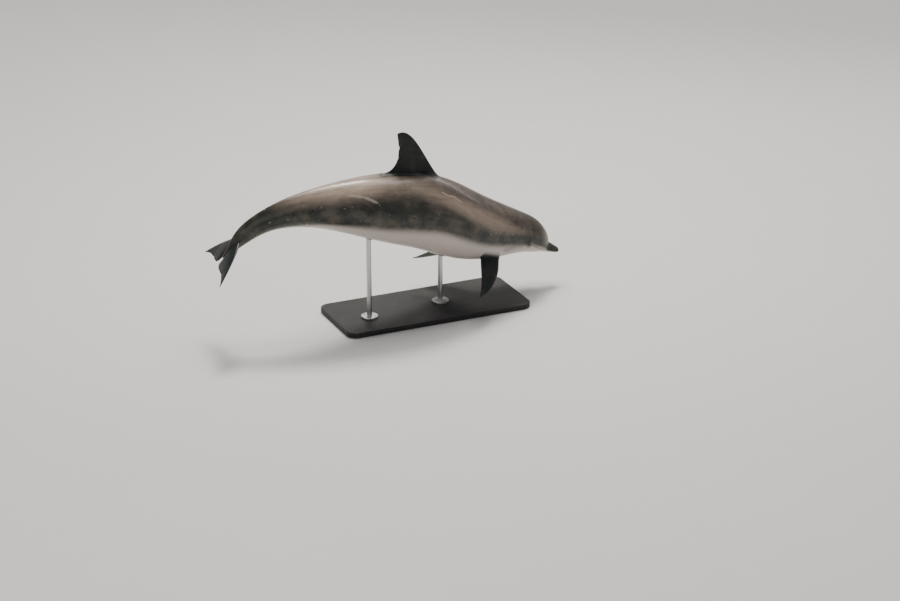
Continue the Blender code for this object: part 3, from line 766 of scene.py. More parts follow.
def bent(places, hinges):
    """Where points of the straight body go when the spine takes its pose."""
    stations, *tables = SPINE
    middle, forward, left, up = (
        np.stack([np.interp(hinges, stations, column) for column in table.T], axis=1) for table in tables
    )
    along = places[:, 0] + hinges * LENGTH
    return middle + along[:, None] * forward + places[:, 1:2] * left + places[:, 2:] * up


# --- Meshes ---


def hang(name, data, place=(0, 0, 0), look=None):
    """Puts an object in the scene, and turns it to look along a direction."""
    obj = bpy.data.objects.new(name, data)
    obj.location = place
    if look is not None:
        obj.rotation_euler = look.to_track_quat("-Z", "Y").to_euler()
    bpy.context.scene.collection.objects.link(obj)
    return obj


def add_piece(name, data, material, slot, *replaced):
    """Makes an object of a mesh, shades it smooth and hangs it on the body."""
    data.shade_smooth()
    data.materials.append(material)
    obj = hang(name, data)
    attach(obj, BODY)
    if replaced:
        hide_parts(*replaced)
    return obj


def mesh_of(name, surface, places):
    data = bpy.data.meshes.new(name)
    data.from_pydata([tuple(place) for place in places], [], surface.faces)
    data.update()
    return data


def store(data, name, kind, values):
    """Keeps a value for each point of a mesh, for its material to read."""
    key = "value" if kind == "FLOAT" else "vector"
    layer = data.attributes.new(name, kind, "POINT")
    layer.data.foreach_set(key, np.asarray(values, np.float32).ravel())


def read(items, key, kind=np.float32):
    """One property of every item of a mesh."""
    wide = 3 if key in ("co", "vector") else 1
    values = np.empty(wide * len(items), kind)
    items.foreach_get(key, values)
    return values.reshape(-1, 3) if wide > 1 else values


@contextmanager
def opened(data):
    """Opens a mesh for work on its faces, and writes it back."""
    mesh = bmesh.new()
    mesh.from_mesh(data)
    yield mesh
    mesh.to_mesh(data)
    mesh.free()


def outward_faces(data):
    """Turns every face of a closed mesh to point out."""
    with opened(data) as mesh:
        bmesh.ops.recalc_face_normals(mesh, faces=mesh.faces)


def add_closed(name, shapes, material, slot, *replaced):
    """Adds a piece made of closed shapes, each as (loops, ends)."""
    surface = Surface()
    for loops, ends in shapes:
        surface.close(loops, ends)
    data = mesh_of(name, surface, surface.places)
    outward_faces(data)
    return add_piece(name, data, material, slot, *replaced)


def circle(count):
    """Cosines and sines of the angles round a circle."""
    turn = np.linspace(0, 2 * math.pi, count, endpoint=False)
    return np.cos(turn), np.sin(turn)


def level_loop(middle, radius, height, count):
    """Points round an upright line through the middle."""
    cosine, sine = circle(count)
    return np.stack([middle[0] + radius * cosine, middle[1] + radius * sine, 0 * sine + height], axis=1)


# --- Nodes of materials ---


def arithmetic(operation):
    """A method of values that adds a maths node."""
    return lambda value, *others: value.nodes.maths(operation, value, *others)


class Value:
    """An output of a node. Arithmetic on it adds the nodes that do it."""

    def __init__(self, nodes, socket):
        self.nodes = nodes
        self.socket = socket

    __add__ = arithmetic("ADD")
    __sub__ = arithmetic("SUBTRACT")
    __mul__ = arithmetic("MULTIPLY")
    __truediv__ = arithmetic("DIVIDE")
    __abs__ = arithmetic("ABSOLUTE")

    def __rsub__(self, other):
        return self.nodes.maths("SUBTRACT", other, self)

    def also(self, name):
        """Another output of the same node."""
        return Value(self.nodes, self.socket.node.outputs[name])


class Nodes:
    """Adds nodes to a tree and links them. What feeds an input is a Value, a number or a tuple."""

    def __init__(self, tree):
        self.tree = tree

    def put(self, socket, value):
        if isinstance(value, Value):
            self.tree.links.new(value.socket, socket)
        else:
            socket.default_value = (*value, 1.0) if socket.type == "RGBA" else value

    def add(self, kind, values, output=0, **settings):
        """A node with these inputs, by name or in order. Returns one of its outputs."""
        node = self.tree.nodes.new("ShaderNode" + kind)
        for name, value in settings.items():
            setattr(node, name, value)
        for key, value in values.items() if isinstance(values, dict) else enumerate(values):
            self.put(node.inputs[key], value)
        return Value(self, node.outputs[output])

    def maths(self, operation, *values):
        return self.add("Math", values, operation=operation)

    def vector(self, operation, *values, output=0):
        return self.add("VectorMath", values, output, operation=operation)

    def dot(self, a, b):
        return self.vector("DOT_PRODUCT", a, b, output=1)

    def distance(self, a, b):
        return self.vector("DISTANCE", a, b, output=1)

    def scaled(self, vector, scale):
        return self.add("VectorMath", {0: vector, "Scale": scale}, operation="SCALE")

    def stretched(self, vector, along, across=1.0, up=1.0):
        return self.vector("MULTIPLY", vector, (along, across, up))

    def across(self, a, b):
        """How far out a point is that lies a and b from two lines at right angles."""
        return self.maths("SQRT", a * a + b * b)

    def larger(self, a, b):
        return self.maths("MAXIMUM", a, b)

    def ramp(self, value, low, high, bottom=0.0, top=1.0):
        """Rises smoothly from bottom at low to top at high."""
        values = {"Value": value, "From Min": low, "From Max": high, "To Min": bottom, "To Max": top}
        return self.add("MapRange", values, interpolation_type="SMOOTHSTEP")

    def curve(self, value, points):
        """A smooth line through (input, output) points, each from 0 to 1."""
        made = self.add("FloatCurve", {"Value": value})
        mapping = made.socket.node.mapping
        line = mapping.curves[0]
        line.points[0].location, line.points[1].location = points[0], points[-1]
        for point in points[1:-1]:
            line.points.new(*point)
        mapping.update()
        return made

    def mix(self, factor, a, b):
        """A colour between a and b."""
        return self.add("Mix", {0: factor, 6: a, 7: b}, 2, data_type="RGBA")

    def layers(self, shade, *layers):
        """A colour with others laid over it in turn, each as (mask, colour)."""
        for mask, colour in layers:
            shade = self.mix(mask, shade, colour)
        return shade

    def noise(self, vector, scale, detail=3.0, roughness=0.5, distortion=0.0):
        values = {"Vector": vector, "Scale": scale, "Detail": detail}
        return self.add("TexNoise", values | {"Roughness": roughness, "Distortion": distortion})

    def attribute(self, name, output="Vector"):
        return self.add("Attribute", (), output, attribute_name=name)

    def geometry(self, output):
        return self.add("NewGeometry", (), output)

    def own_place(self):
        """Coordinates that stay with the piece."""
        return self.add("TexCoord", (), "Object")

    def joined(self, *values):
        return self.add("CombineXYZ", values)

    def parts(self, vector):
        x = self.add("SeparateXYZ", (vector,))
        return x, x.also("Y"), x.also("Z")

    def bump(self, height, distance=1.0):
        return self.add("Bump", {"Height": height, "Distance": distance, "Strength": 1.0})


TOOTH_SPACING = 0.0085


def shared_group(label, **inputs):
    """Makes the function below it into a node group, built once. Calling it places that group.

    The first input is the place on the surface, and the default of each other tells its kind.
    Each output is a value that varies over the surface.
    """
    inputs = {"Place": (0.0, 0.0, 0.0), **inputs}

    def make(build):
        tree = bpy.data.node_groups.new(label, "ShaderNodeTree")
        for name, default in inputs.items():
            kind = "NodeSocketVector" if isinstance(default, tuple) else "NodeSocketFloat"
            tree.interface.new_socket(name=name, in_out="INPUT", socket_type=kind).default_value = default
        nodes = Nodes(tree)
        entry = tree.nodes.new("NodeGroupInput")
        made = build(nodes, *(Value(nodes, entry.outputs[name]) for name in inputs))
        for name in made:
            tree.interface.new_socket(name=name, in_out="OUTPUT", socket_type="NodeSocketFloat")
        leave = tree.nodes.new("NodeGroupOutput")
        for name, value in made.items():
            nodes.put(leave.inputs[name], value)
        return tree

    def wrap(build):
        def put_in(nodes, place, **values):
            tree = bpy.data.node_groups.get(label) or make(build)
            return nodes.add("Group", {"Place": place, **values}, node_tree=tree)

        return put_in

    return wrap


@shared_group("Fine grain", Scale=40.0, Depth=1.0)
def fine_grain(nodes, place, scale, depth):
    """Fine unevenness of a surface: a tone about 0.5 and a height."""
    tone = nodes.noise(place, scale * 6.0, 2.0) * 0.35 + nodes.noise(place, scale, 4.0, 0.6) * 0.65
    return {"Tone": tone, "Height": tone * depth}


@shared_group("Stray scratches", Stretch=(1.0, 1.0, 1.0), Scale=8.0, Width=0.004, Amount=0.25)
def stray_scratches(nodes, place, stretch, scale, width, amount):
    """Thin stray scratches, as a mask."""
    line = nodes.noise(nodes.vector("MULTIPLY", place, stretch), scale, 2.0, 0.5, 0.4)
    thin = nodes.ramp(abs(line - 0.5), width, 0.0)
    return {"Mask": thin * nodes.ramp(nodes.noise(place, 3.0, 2.0), 0.75 - amount, 0.80)}


@shared_group("Settled dust", Amount=0.3)
def settled_dust(nodes, place, amount):
    """Dust on what faces up, as a mask."""
    level = nodes.ramp(nodes.parts(nodes.geometry("Normal"))[2], 0.3, 1.0)
    cloud = nodes.ramp(nodes.noise(place, 16.0, 6.0, 0.65), 0.30, 0.85)
    specks = nodes.ramp(nodes.noise(place, 900.0, 1.0), 0.62, 0.72)
    return {"Mask": level * (specks * 0.5 + cloud * 0.5) * amount}


@shared_group("Healed scar", Start=(0.0, 0.0, 0.0), End=(1.0, 0.0, 0.0), Width=0.004)
def healed_scar(nodes, place, start, end, width):
    """A healed scratch between two points, as a mask."""
    run = nodes.vector("SUBTRACT", end, start)
    past = nodes.vector("SUBTRACT", place, start)
    share = nodes.add("Clamp", (nodes.dot(past, run) / nodes.dot(run, run),))
    away = nodes.distance(past, nodes.scaled(run, share))
    rough = nodes.noise(place, 42.0, 5.0, 0.6) * 1.5 + 0.05
    width = width * rough * nodes.ramp(share * (1.0 - share), -0.08, 0.22, 0.3, 1.0)
    return {"Mask": nodes.ramp(away, width, width * 0.15)}


@shared_group(
    "Tooth rake", Middle=(0.0, 0.0, 0.0), Along=(1.0, 0.0, 0.0), Across=(0.0, 0.0, 1.0), Reach=0.06
)
def tooth_rake(nodes, place, middle, along, across, reach):
    """Evenly spaced lines, as the teeth of another animal leave, as a mask."""
    past = nodes.vector("SUBTRACT", place, middle)
    across = nodes.dot(past, across) + (nodes.noise(place, 9.0) * 0.020 - 0.010)
    lines = nodes.ramp(nodes.maths("COSINE", across * (2 * math.pi / TOOTH_SPACING)), 0.70, 1.0)
    length = nodes.ramp(abs(nodes.dot(past, along)), reach, 0.0)
    width = nodes.ramp(abs(across), 0.024, 0.018)
    near = nodes.ramp(nodes.vector("LENGTH", past, output=1), 0.16, 0.12)
    broken = nodes.ramp(nodes.noise(place, 35.0), 0.35, 0.55)
    return {"Mask": lines * length * (width * near) * broken}


def new_material(name, build, *given):
    """A material with its own shader, fed with what the build function returns."""
    material = bpy.data.materials.new(name)
    material.use_nodes = True
    tree = material.node_tree
    shader = next(node for node in tree.nodes if node.type == "BSDF_PRINCIPLED")
    nodes = Nodes(tree)
    for socket, value in build(nodes, *given).items():
        nodes.put(shader.inputs[socket], value)
    return material


# --- Finishes ---


WORN_SPOT = (-0.150, 0.045, 0.020)
STRIPE_FRONT = (-0.14, 0.070, -0.030)
STRIPE_REAR = (-0.575, 0.175, -0.085)
DARK_WHITE = (0.022, 0.014, 0.011)
PALE_WHITE = (0.070, 0.048, 0.038)
PUPIL_BLACK = (0.002, 0.002, 0.003)
IRIS_RIM = (0.010, 0.007, 0.006)

# Markings by station: heights as shares of the way up the side, and the width and strength of the band
CAPE_EDGE = ((0, 0.62), (0.10, 0.70), (0.25, 0.80), (0.40, 0.84), (0.52, 0.96), (0.60, 1.0), (1, 1.0))
BELLY_EDGE = (
    (0, 0.12), (0.05, 0.24), (0.13, 0.31), (0.30, 0.33), (0.45, 0.30), (0.60, 0.24), (0.72, 0.14),
    (0.82, 0.05), (1, 0.0),
)
BAND_MIDDLE = (
    (0, 0.50), (0.12, 0.60), (0.25, 0.69), (0.33, 0.72), (0.39, 0.74), (0.46, 0.81), (0.56, 0.92),
    (0.66, 0.93), (0.80, 0.92), (1, 0.80),
)
BAND_WIDTH = (
    (0, 0.10), (0.18, 0.14), (0.28, 0.19), (0.40, 0.15), (0.50, 0.16), (0.62, 0.31), (0.76, 0.34),
    (0.86, 0.20), (1, 0.10),
)
# Where the band is strongest, on the head and over the rear back, it is partly a painted sheen of sunlight
# on the wet skin
BAND_STRENGTH = (
    (0, 0.0), (0.10, 0.06), (0.18, 0.42), (0.28, 0.80), (0.38, 0.78), (0.46, 0.58), (0.54, 0.40),
    (0.64, 0.96), (0.76, 1.0), (0.85, 0.24), (1, 0.0),
)
# Scars in the side view: side of the body, width, and (behind the tip, up) points along each
SCARS = (
    (-1, 0.009, ((1.18, 0.170), (1.14, 0.155), (1.11, 0.160), (1.08, 0.150), (1.05, 0.140))),
    (-1, 0.017, ((1.76, 0.115), (1.67, 0.110), (1.59, 0.080))),
    (1, 0.004, ((0.98, 0.120), (0.90, 0.095))),
    (1, 0.005, ((1.90, 0.060), (1.80, 0.070))),
)
RAKES = (
    # middle, along, across, reach
    ((-0.63, -0.195, 0.070), (0.8, 0.0, 0.6), (-0.6, 0.0, 0.8), 0.070),
    ((-1.95, -0.085, 0.050), (1.0, 0.0, 0.1), (-0.1, 0.0, 1.0), 0.080),
    ((-1.52, 0.170, 0.090), (0.7, 0.0, 0.7), (-0.7, 0.0, 0.7), 0.070),
    ((-0.30, 0.105, 0.060), (0.9, 0.0, 0.4), (-0.4, 0.0, 0.9), 0.045),
    ((-1.62, 0.010, 0.330), (0.5, 0.0, 0.87), (-0.87, 0.0, 0.5), 0.060),
)


def healed_marks(nodes, rest, marks):
    """Scars, tooth rakes and stray scratches, over the marks that are there."""
    for side, width, line in SCARS:
        behind, high = np.array(line).T
        places = np.stack([-behind, side * side_of_body(-behind, high), high], axis=1).tolist()
        for start, end in zip(places, places[1:]):
            marks = nodes.larger(marks, healed_scar(nodes, rest, Start=start, End=end, Width=width))
    for middle, along, across, reach in RAKES:
        rake = tooth_rake(nodes, rest, Middle=middle, Along=along, Across=across, Reach=reach)
        marks = nodes.larger(marks, rake * 0.6)
    stray = stray_scratches(nodes, rest, Stretch=(0.35, 1.0, 1.0), Scale=11.0, Width=0.0030, Amount=0.14)
    return nodes.larger(marks, stray * 0.35)


def flecks(nodes, rest, station, fin):
    """Pale flecks of many sizes, more of them towards the tail, as a mask."""
    shaken = nodes.scaled(nodes.noise(rest, 90.0, 2.0).also("Color"), 0.010)
    shaken = nodes.stretched(nodes.vector("ADD", rest, shaken), 0.75, 1.0, 1.1)
    spots = nodes.add("TexVoronoi", {"Vector": shaken, "Scale": 24.0, "Randomness": 1.0})
    size, chosen, _ = nodes.parts(spots.also("Color"))
    spot = nodes.ramp(spots, size * 0.17 + 0.045, 0.02)
    few = nodes.ramp(chosen, nodes.ramp(station, 0.50, 0.70, 0.52, 0.14), 0.60)
    return spot * (few * nodes.ramp(station, 0.10, 0.30)) * nodes.ramp(fin, 0.0, 0.3, 1.0, 0.0)


def wet_skin(nodes, looks):
    rest = nodes.attribute("rest")
    along, aside, up = nodes.parts(rest)
    station, height, fin = nodes.parts(nodes.attribute("lay"))
    lengthwise = nodes.stretched(rest, 0.22)
    drift = nodes.noise(lengthwise, 7.0, 4.0, 0.55) - 0.5
    height = drift * 0.09 + height
    folded = nodes.joined(along, abs(aside), up)
    body_share = nodes.ramp(fin, 0.0, 0.8, 1.0, 0.25)

    # The cape over the back; the paler band, partly the skin's own tone and partly a painted sheen of
    # sunlight; the sides, painted dark lower down as shade; and the white belly below them
    cape = nodes.ramp(height - nodes.curve(station, CAPE_EDGE), -0.05, 0.05)
    patchy = nodes.ramp(nodes.noise(nodes.stretched(rest, 0.45), 10.0, 6.0, 0.62), 0.34, 0.62, 0.70, 1.0)
    from_band = abs(height - nodes.curve(station, BAND_MIDDLE))
    band = nodes.ramp(from_band, nodes.curve(station, BAND_WIDTH), 0.0)
    band = band * (nodes.curve(station, BAND_STRENGTH) * patchy)
    belly = nodes.ramp(height - nodes.curve(station, BELLY_EDGE), 0.09, -0.07)
    tail = nodes.ramp(drift * 0.12 + station, 0.70, 0.86, 0.0, 0.92)

    # The face: a dark patch round the eye, stripes from it to the beak and the flipper, worn skin
    eye = eye_centre()
    patch = nodes.ramp(nodes.distance(folded, tuple(eye)), 0.046, 0.018)
    ahead, behind = tuple(eye + (0.02, 0, 0.004)), tuple(eye - (0.02, 0, 0.004))
    front_stripe = healed_scar(nodes, folded, Start=ahead, End=STRIPE_FRONT, Width=0.030)
    rear_stripe = healed_scar(nodes, folded, Start=behind, End=STRIPE_REAR, Width=0.050)
    worn = nodes.ramp(nodes.distance(folded, WORN_SPOT), 0.075, 0.0)
    worn = worn * nodes.ramp(nodes.noise(rest, 22.0, 5.0, 0.65), 0.40, 0.70)

    # Unevenness and marks
    clouds = nodes.ramp(nodes.noise(rest, 11.0, 5.0, 0.6), 0.36, 0.80, 0.0, 0.20) * body_share
    streaks = nodes.ramp(nodes.noise(nodes.stretched(rest, 0.12), 48.0, 4.0, 0.6), 0.42, 0.85, 0.0, 0.42)
    marks = healed_marks(nodes, rest, flecks(nodes, rest, station, fin))
    shade = nodes.layers(
        # Painted shade: the lower sides start from a dark colour for the shade that falls there, and
        # lighten upwards to the side colour
        looks.flank_shade_colour,
        (nodes.ramp(height, 0.48, 0.76, 0.0, 0.85), looks.side_colour),
        (cape, looks.cape_colour),
        # The pale band: partly the skin's own paler tone, partly a painted sheen of sunlight on the wet
        # head and back
        (band, looks.band_and_sheen_colour),
        (tail, looks.tail_colour),
        (belly, looks.belly_colour),
        (nodes.ramp(fin, 0.05, 0.75), looks.fin_colour),
        (patch * 0.75, looks.fin_colour),
        (front_stripe * 0.35, looks.fin_colour),
        (rear_stripe * 0.40, looks.flank_shade_colour),
        (nodes.ramp(station, 0.055, 0.030, 0.0, 0.75), looks.fin_colour),
        (worn * 0.55, looks.worn_colour),
        (clouds, looks.band_and_sheen_colour),
        (streaks * nodes.ramp(belly, 0.0, 0.8, 1.0, 0.12), looks.fin_colour),
        (marks * 0.82, looks.scar_colour),
        # Painted shade deep in the creases of the mouth, blowhole, ears, navel and slits
        (nodes.ramp(nodes.attribute("hidden", "Fac"), 0.15, 0.85, 0.0, 0.90), looks.crease_shade_colour),
    )

    # Wet gloss, broken where the skin is worn
    wet = nodes.ramp(nodes.noise(lengthwise, 16.0), 0.30, 0.65, 0.12, 0.42)
    grain = fine_grain(nodes, rest, Scale=95.0)
    rough = belly * 0.06 + (marks * 0.14 + nodes.ramp(grain, 0.30, 0.70, 0.24, 0.40))

    # Relief: soft muscle, wrinkles round the neck, fine skin ridges, scars
    creased = nodes.ramp(station, 0.10, 0.15) * nodes.ramp(station, 0.32, 0.24)
    relief = nodes.noise(nodes.stretched(rest, 0.35), 5.0, 2.0) * 0.0060
    relief += nodes.noise(nodes.stretched(rest, 1.0, 0.30, 0.30), 60.0, 2.0) * creased * 0.0011
    relief += nodes.noise(nodes.stretched(rest, 1.0, 0.12, 0.12), 420.0, 1.0) * 0.00006
    relief += grain.also("Height") * 0.00022
    relief += marks * 0.00025
    return {
        "Base Color": shade, "Roughness": rough, "Specular IOR Level": 0.30, "Normal": nodes.bump(relief),
        "Coat Weight": wet * body_share, "Coat Roughness": 0.10, "Coat IOR": 1.34,
    }


def dark_eye(nodes, looks):
    gaze = nodes.attribute("gaze")
    across, up, _ = nodes.parts(gaze)
    ring = nodes.across(across, up)
    spokes = nodes.joined(nodes.maths("ARCTAN2", up, across) * 5.0, ring)
    fibre = nodes.noise(nodes.stretched(spokes, 2.0, 3.0), 3.0, 4.0, 0.65)
    wide = across / looks.pupil_width
    high = (up + across * across * -0.9 + 0.03) / 0.13
    shade = nodes.layers(
        looks.iris_colour,
        (nodes.ramp(fibre, 0.30, 0.72), looks.iris_light),
        (nodes.ramp(ring, 0.30, 0.56), IRIS_RIM),
        (nodes.ramp(ring, 0.58, 0.68), nodes.mix(nodes.noise(gaze, 7.0, 5.0), DARK_WHITE, PALE_WHITE)),
        (nodes.ramp(wide * wide + high * high, 1.25, 0.85), PUPIL_BLACK),
    )
    return {
        "Base Color": shade, "Roughness": 0.12, "Coat Weight": 1.0, "Coat Roughness": 0.02,
        "Normal": nodes.bump(nodes.noise(gaze, 14.0, 2.0), 0.00008),
    }


def darker(colour, share):
    return tuple(share * part for part in colour)


def satin_paint(nodes, looks):
    """Satin black paint, rolled on, a little worn at the edges and dusty on top."""
    place = nodes.own_place()
    grain = fine_grain(nodes, place, Scale=260.0)
    scratch = stray_scratches(nodes, place, Stretch=(0.3, 1.0, 1.0), Scale=9.0, Width=0.0016, Amount=0.22)
    dust = settled_dust(nodes, place, Amount=looks.dust)
    worn = nodes.ramp(nodes.geometry("Pointiness"), 0.53, 0.60)
    worn = worn * nodes.ramp(nodes.noise(place, 24.0, 4.0), 0.50, 0.66)
    shade = nodes.layers(
        looks.board_colour,
        (nodes.ramp(nodes.noise(place, 2.5, 4.0), 0.35, 0.70), darker(looks.board_colour, 1.15)),
        (scratch * 0.35, (0.16, 0.16, 0.16)),
        (worn * 0.50, (0.20, 0.17, 0.14)),
        (dust, (0.34, 0.33, 0.31)),
    )
    rough = dust * 0.5 + nodes.ramp(grain, 0.3, 0.7, 0.46, 0.60)
    relief = nodes.bump(scratch * -0.00005 + grain.also("Height") * 0.00012)
    return {"Base Color": shade, "Roughness": rough, "Specular IOR Level": 0.30, "Normal": relief}


def brushed_steel(nodes, looks, centre=None):
    """Brushed steel: brushed along an upright rod, or turned round the centre of a flange."""
    place = nodes.own_place()
    if centre is None:
        brushing = nodes.noise(nodes.stretched(place, 1.0, 1.0, 0.012), 1500.0, 3.0, 0.6)
    else:
        x, y, z = nodes.parts(nodes.vector("SUBTRACT", place, tuple(centre)))
        turned = nodes.joined(nodes.across(x, y), z, nodes.noise(place, 30.0))
        brushing = nodes.noise(nodes.stretched(turned, 1.0, 1.0, 0.0006), 1600.0, 3.0, 0.6)
    scratch = stray_scratches(nodes, place, Scale=40.0, Width=0.003, Amount=0.20)
    dust = settled_dust(nodes, place, Amount=looks.dust)
    smear = nodes.noise(place, 14.0, 4.0, 0.6)
    shade = nodes.layers(
        darker(looks.steel_colour, 0.90),
        (nodes.ramp(brushing, 0.30, 0.70), looks.steel_colour),
        (nodes.ramp(smear, 0.45, 0.80, 0.0, 0.25), (0.30, 0.28, 0.26)),
        (dust, (0.36, 0.35, 0.33)),
    )
    rough = nodes.ramp(smear, 0.45, 0.80) * 0.10 + nodes.ramp(brushing, 0.25, 0.75, 0.27, 0.36)
    rough = (dust + scratch) * 0.30 + rough
    relief = scratch * -0.00003 + brushing * 0.00002
    return {"Base Color": shade, "Metallic": 1.0, "Roughness": rough, "Normal": nodes.bump(relief)}


def black_rubber(nodes, looks):
    place = nodes.own_place()
    grain = fine_grain(nodes, place, Scale=500.0)
    shade = nodes.layers(
        (0.012, 0.012, 0.012),
        (nodes.ramp(grain, 0.35, 0.65), (0.028, 0.027, 0.026)),
        (settled_dust(nodes, place, Amount=looks.dust), (0.20, 0.20, 0.19)),
    )
    rough = nodes.ramp(grain, 0.3, 0.7, 0.55, 0.72)
    relief = nodes.bump(grain.also("Height") * 0.00012)
    return {"Base Color": shade, "Roughness": rough, "Specular IOR Level": 0.35, "Normal": relief}


def pale_floor(nodes, looks):
    place = nodes.own_place()
    shade = nodes.mix(nodes.noise(place, 0.6, 4.0), darker(looks.floor_colour, 0.965), looks.floor_colour)
    rough = nodes.ramp(nodes.noise(place, 4.0), 0.3, 0.7, 0.62, 0.74)
    return {"Base Color": shade, "Roughness": rough, "Specular IOR Level": 0.3}


# --- Settings ---


def number(name, description, default, kind=FloatProperty, **limits):
    return kind(name=name, description=description, default=default, **limits)


def metres(name, description, default):
    return number(name, description, default, min=0.0, precision=4, unit="LENGTH")


def degrees(name, description, default):
    return number(name, description, math.radians(default), subtype="ANGLE")


def paint(name, description, default):
    limits = dict(size=3, min=0.0, max=1.0, subtype="COLOR")
    return number(name, description, default, FloatVectorProperty, **limits)


class DolphinSkinSettings(bpy.types.PropertyGroup):
    mouth_width: metres("Mouth width", "Width of the closed line of the mouth", 0.0032)
    mouth_depth: metres("Mouth depth", "Depth of the closed line of the mouth", 0.0036)
    underbite: metres("Underbite", "How far the lower jaw reaches past the upper", 0.0050)
    eye_length: metres("Eye length", "Length of the opening between the lids", 0.0245)
    eye_height: metres("Eye height", "Height of the opening between the lids", 0.0135)
    lid_thickness: metres("Lid thickness", "Thickness of the lids over the eyeball", 0.0018)
    lid_tilt: degrees("Lid tilt", "How far the front of the eye rises", -8.0)
    blowhole_width: metres("Blowhole width", "Width of the crescent of the blowhole", 0.040)
    cape_colour: paint("Cape", "Colour of the back", (0.062, 0.050, 0.040))
    # Painted shade: the skin's grey on the lower sides, darkened for the shade that falls there
    flank_shade_colour: paint("Flank", "Colour of the sides", (0.0105, 0.0165, 0.0140))
    side_colour: paint("Side", "Colour of the sides below the cape", (0.060, 0.055, 0.046))
    # Partly the skin's paler tone, partly a painted sheen of sunlight on the wet head and back
    band_and_sheen_colour: paint("Band", "Colour of the paler band along the side", (0.500, 0.388, 0.310))
    tail_colour: paint("Tail", "Colour of the tail stock", (0.022, 0.027, 0.022))
    fin_colour: paint("Fins", "Colour of the fins and flukes", (0.0040, 0.0085, 0.0080))
    belly_colour: paint("Belly", "Colour of the underside", (0.580, 0.520, 0.480))
    worn_colour: paint("Worn skin", "Colour of rubbed skin on the melon", (0.330, 0.165, 0.110))
    scar_colour: paint("Scars", "Colour of healed marks", (0.460, 0.390, 0.330))
    # Painted shade: the colour laid deep in the creases of the mouth, blowhole, ears, navel and slits
    crease_shade_colour: paint("Mouth line", "Colour deep in the creases", (0.012, 0.011, 0.011))


class DolphinEyeSettings(bpy.types.PropertyGroup):
    cornea_rise: metres("Cornea rise", "How far the cornea swells from the eyeball", 0.0005)
    pupil_width: number("Pupil width", "Half width as a share of the radius", 0.27)
    iris_colour: paint("Iris", "Darker colour of the iris", (0.018, 0.009, 0.005))
    iris_light: paint("Iris fibres", "Lighter colour of the iris", (0.070, 0.036, 0.019))


class DolphinStandSettings(bpy.types.PropertyGroup):
    screw_radius: metres("Screw radius", "Radius of the head of a flange screw", 0.0055)
    screw_circle: metres("Screw circle", "Distance of the screws from the rod", 0.040)
    screw_count: number("Screws", "Screws in each flange", 4, IntProperty, min=2, max=8)
    grommet_width: metres("Grommet width", "Width of the rubber ring where a rod meets the belly", 0.010)
    dust: number("Dust", "Amount of settled dust", 0.10, min=0.0, max=1.0)
    board_colour: paint("Board", "Colour of the painted base", (0.016, 0.016, 0.017))
    steel_colour: paint("Steel", "Colour of the rods and flanges", (0.58, 0.58, 0.585))


class DolphinStudioSettings(bpy.types.PropertyGroup):
    floor_radius: metres("Floor radius", "Radius of the pale floor", 70.0)
    floor_colour: paint("Floor", "Colour of the floor", (0.80, 0.80, 0.79))
    view_azimuth: degrees("View azimuth", "Direction that the camera looks from", -24.0)
    view_elevation: degrees("View elevation", "Height of the camera above the horizon", 20.0)
    view_distance: metres("View distance", "Distance from the camera to the dolphin's middle", 16.15)
    view_turn: degrees("View turn", "How far the camera turns to the right of the middle", 0.48)
    view_drop: degrees("View drop", "How far the camera looks below the middle", 2.04)
    focal_length: number("Focal length", "In millimetres", 100.0, unit="CAMERA")
    sky_strength: number("Sky", "Strength of the even light", 0.27)
    key_power: number("Key", "Watts of the large lamp above", 260.0)
    rim_power: number("Rim", "Watts of the lamp behind", 80.0)
    sun_strength: number("Sun", "Strength of the soft even sun", 2.0)
    fill_power: number("Fill", "Watts of the lamp beside the camera", 60.0)


# --- Operators ---


FIT_LIMIT = 0.012  # how far the skin's box may lie from that of the solids
ON_FIN = 0.5  # share of a fin from which no detail is pressed in
HEIGHT_SAMPLES = ((0.0005, 0.15, 300), (0.155, 0.986, 150))  # stations where the body's height is read
EYE_POINTS = 48
EYE_ROWS = 32
EYE_GAP = 0.0001  # between the eyeball and the lids
CORNEA_REACH = 0.48  # angle from the middle of the eye
PLACES = ("front", "rear")
STAND_POINTS = 96
SCREW_POINTS = 48
SCREW_SINK = 0.0002  # how far a screw sits in its flange
GROMMET_POINTS = 64
FLOOR_POINTS = 96
SHARP_ANGLE = math.radians(35)
# The map of the skin: share of the way along it at some stations, and where the fins stand on it
MAP_STATIONS = (0, 0.2, 1)
MAP_ALONG = (0.01, 0.43, 0.98)
MAP_BACK = 0.33
MAP_ROUND = 0.60
MAP_FIN_STEP = 0.098
MAP_FIN_LENGTH = 0.09
MAP_FIN_FOOT = 0.68
MAP_FIN_REACH = 0.30
# Edges of a flange: (in from the rim, up from the foot) and (in from the rim, down from the top)
FLANGE_FOOT = ((0.0005, 0.0), (0.0, 0.0005))
FLANGE_TOP = ((0.0, 0.0026), (0.0006, 0.0012), (0.0022, 0.0001), (0.0040, 0.0))


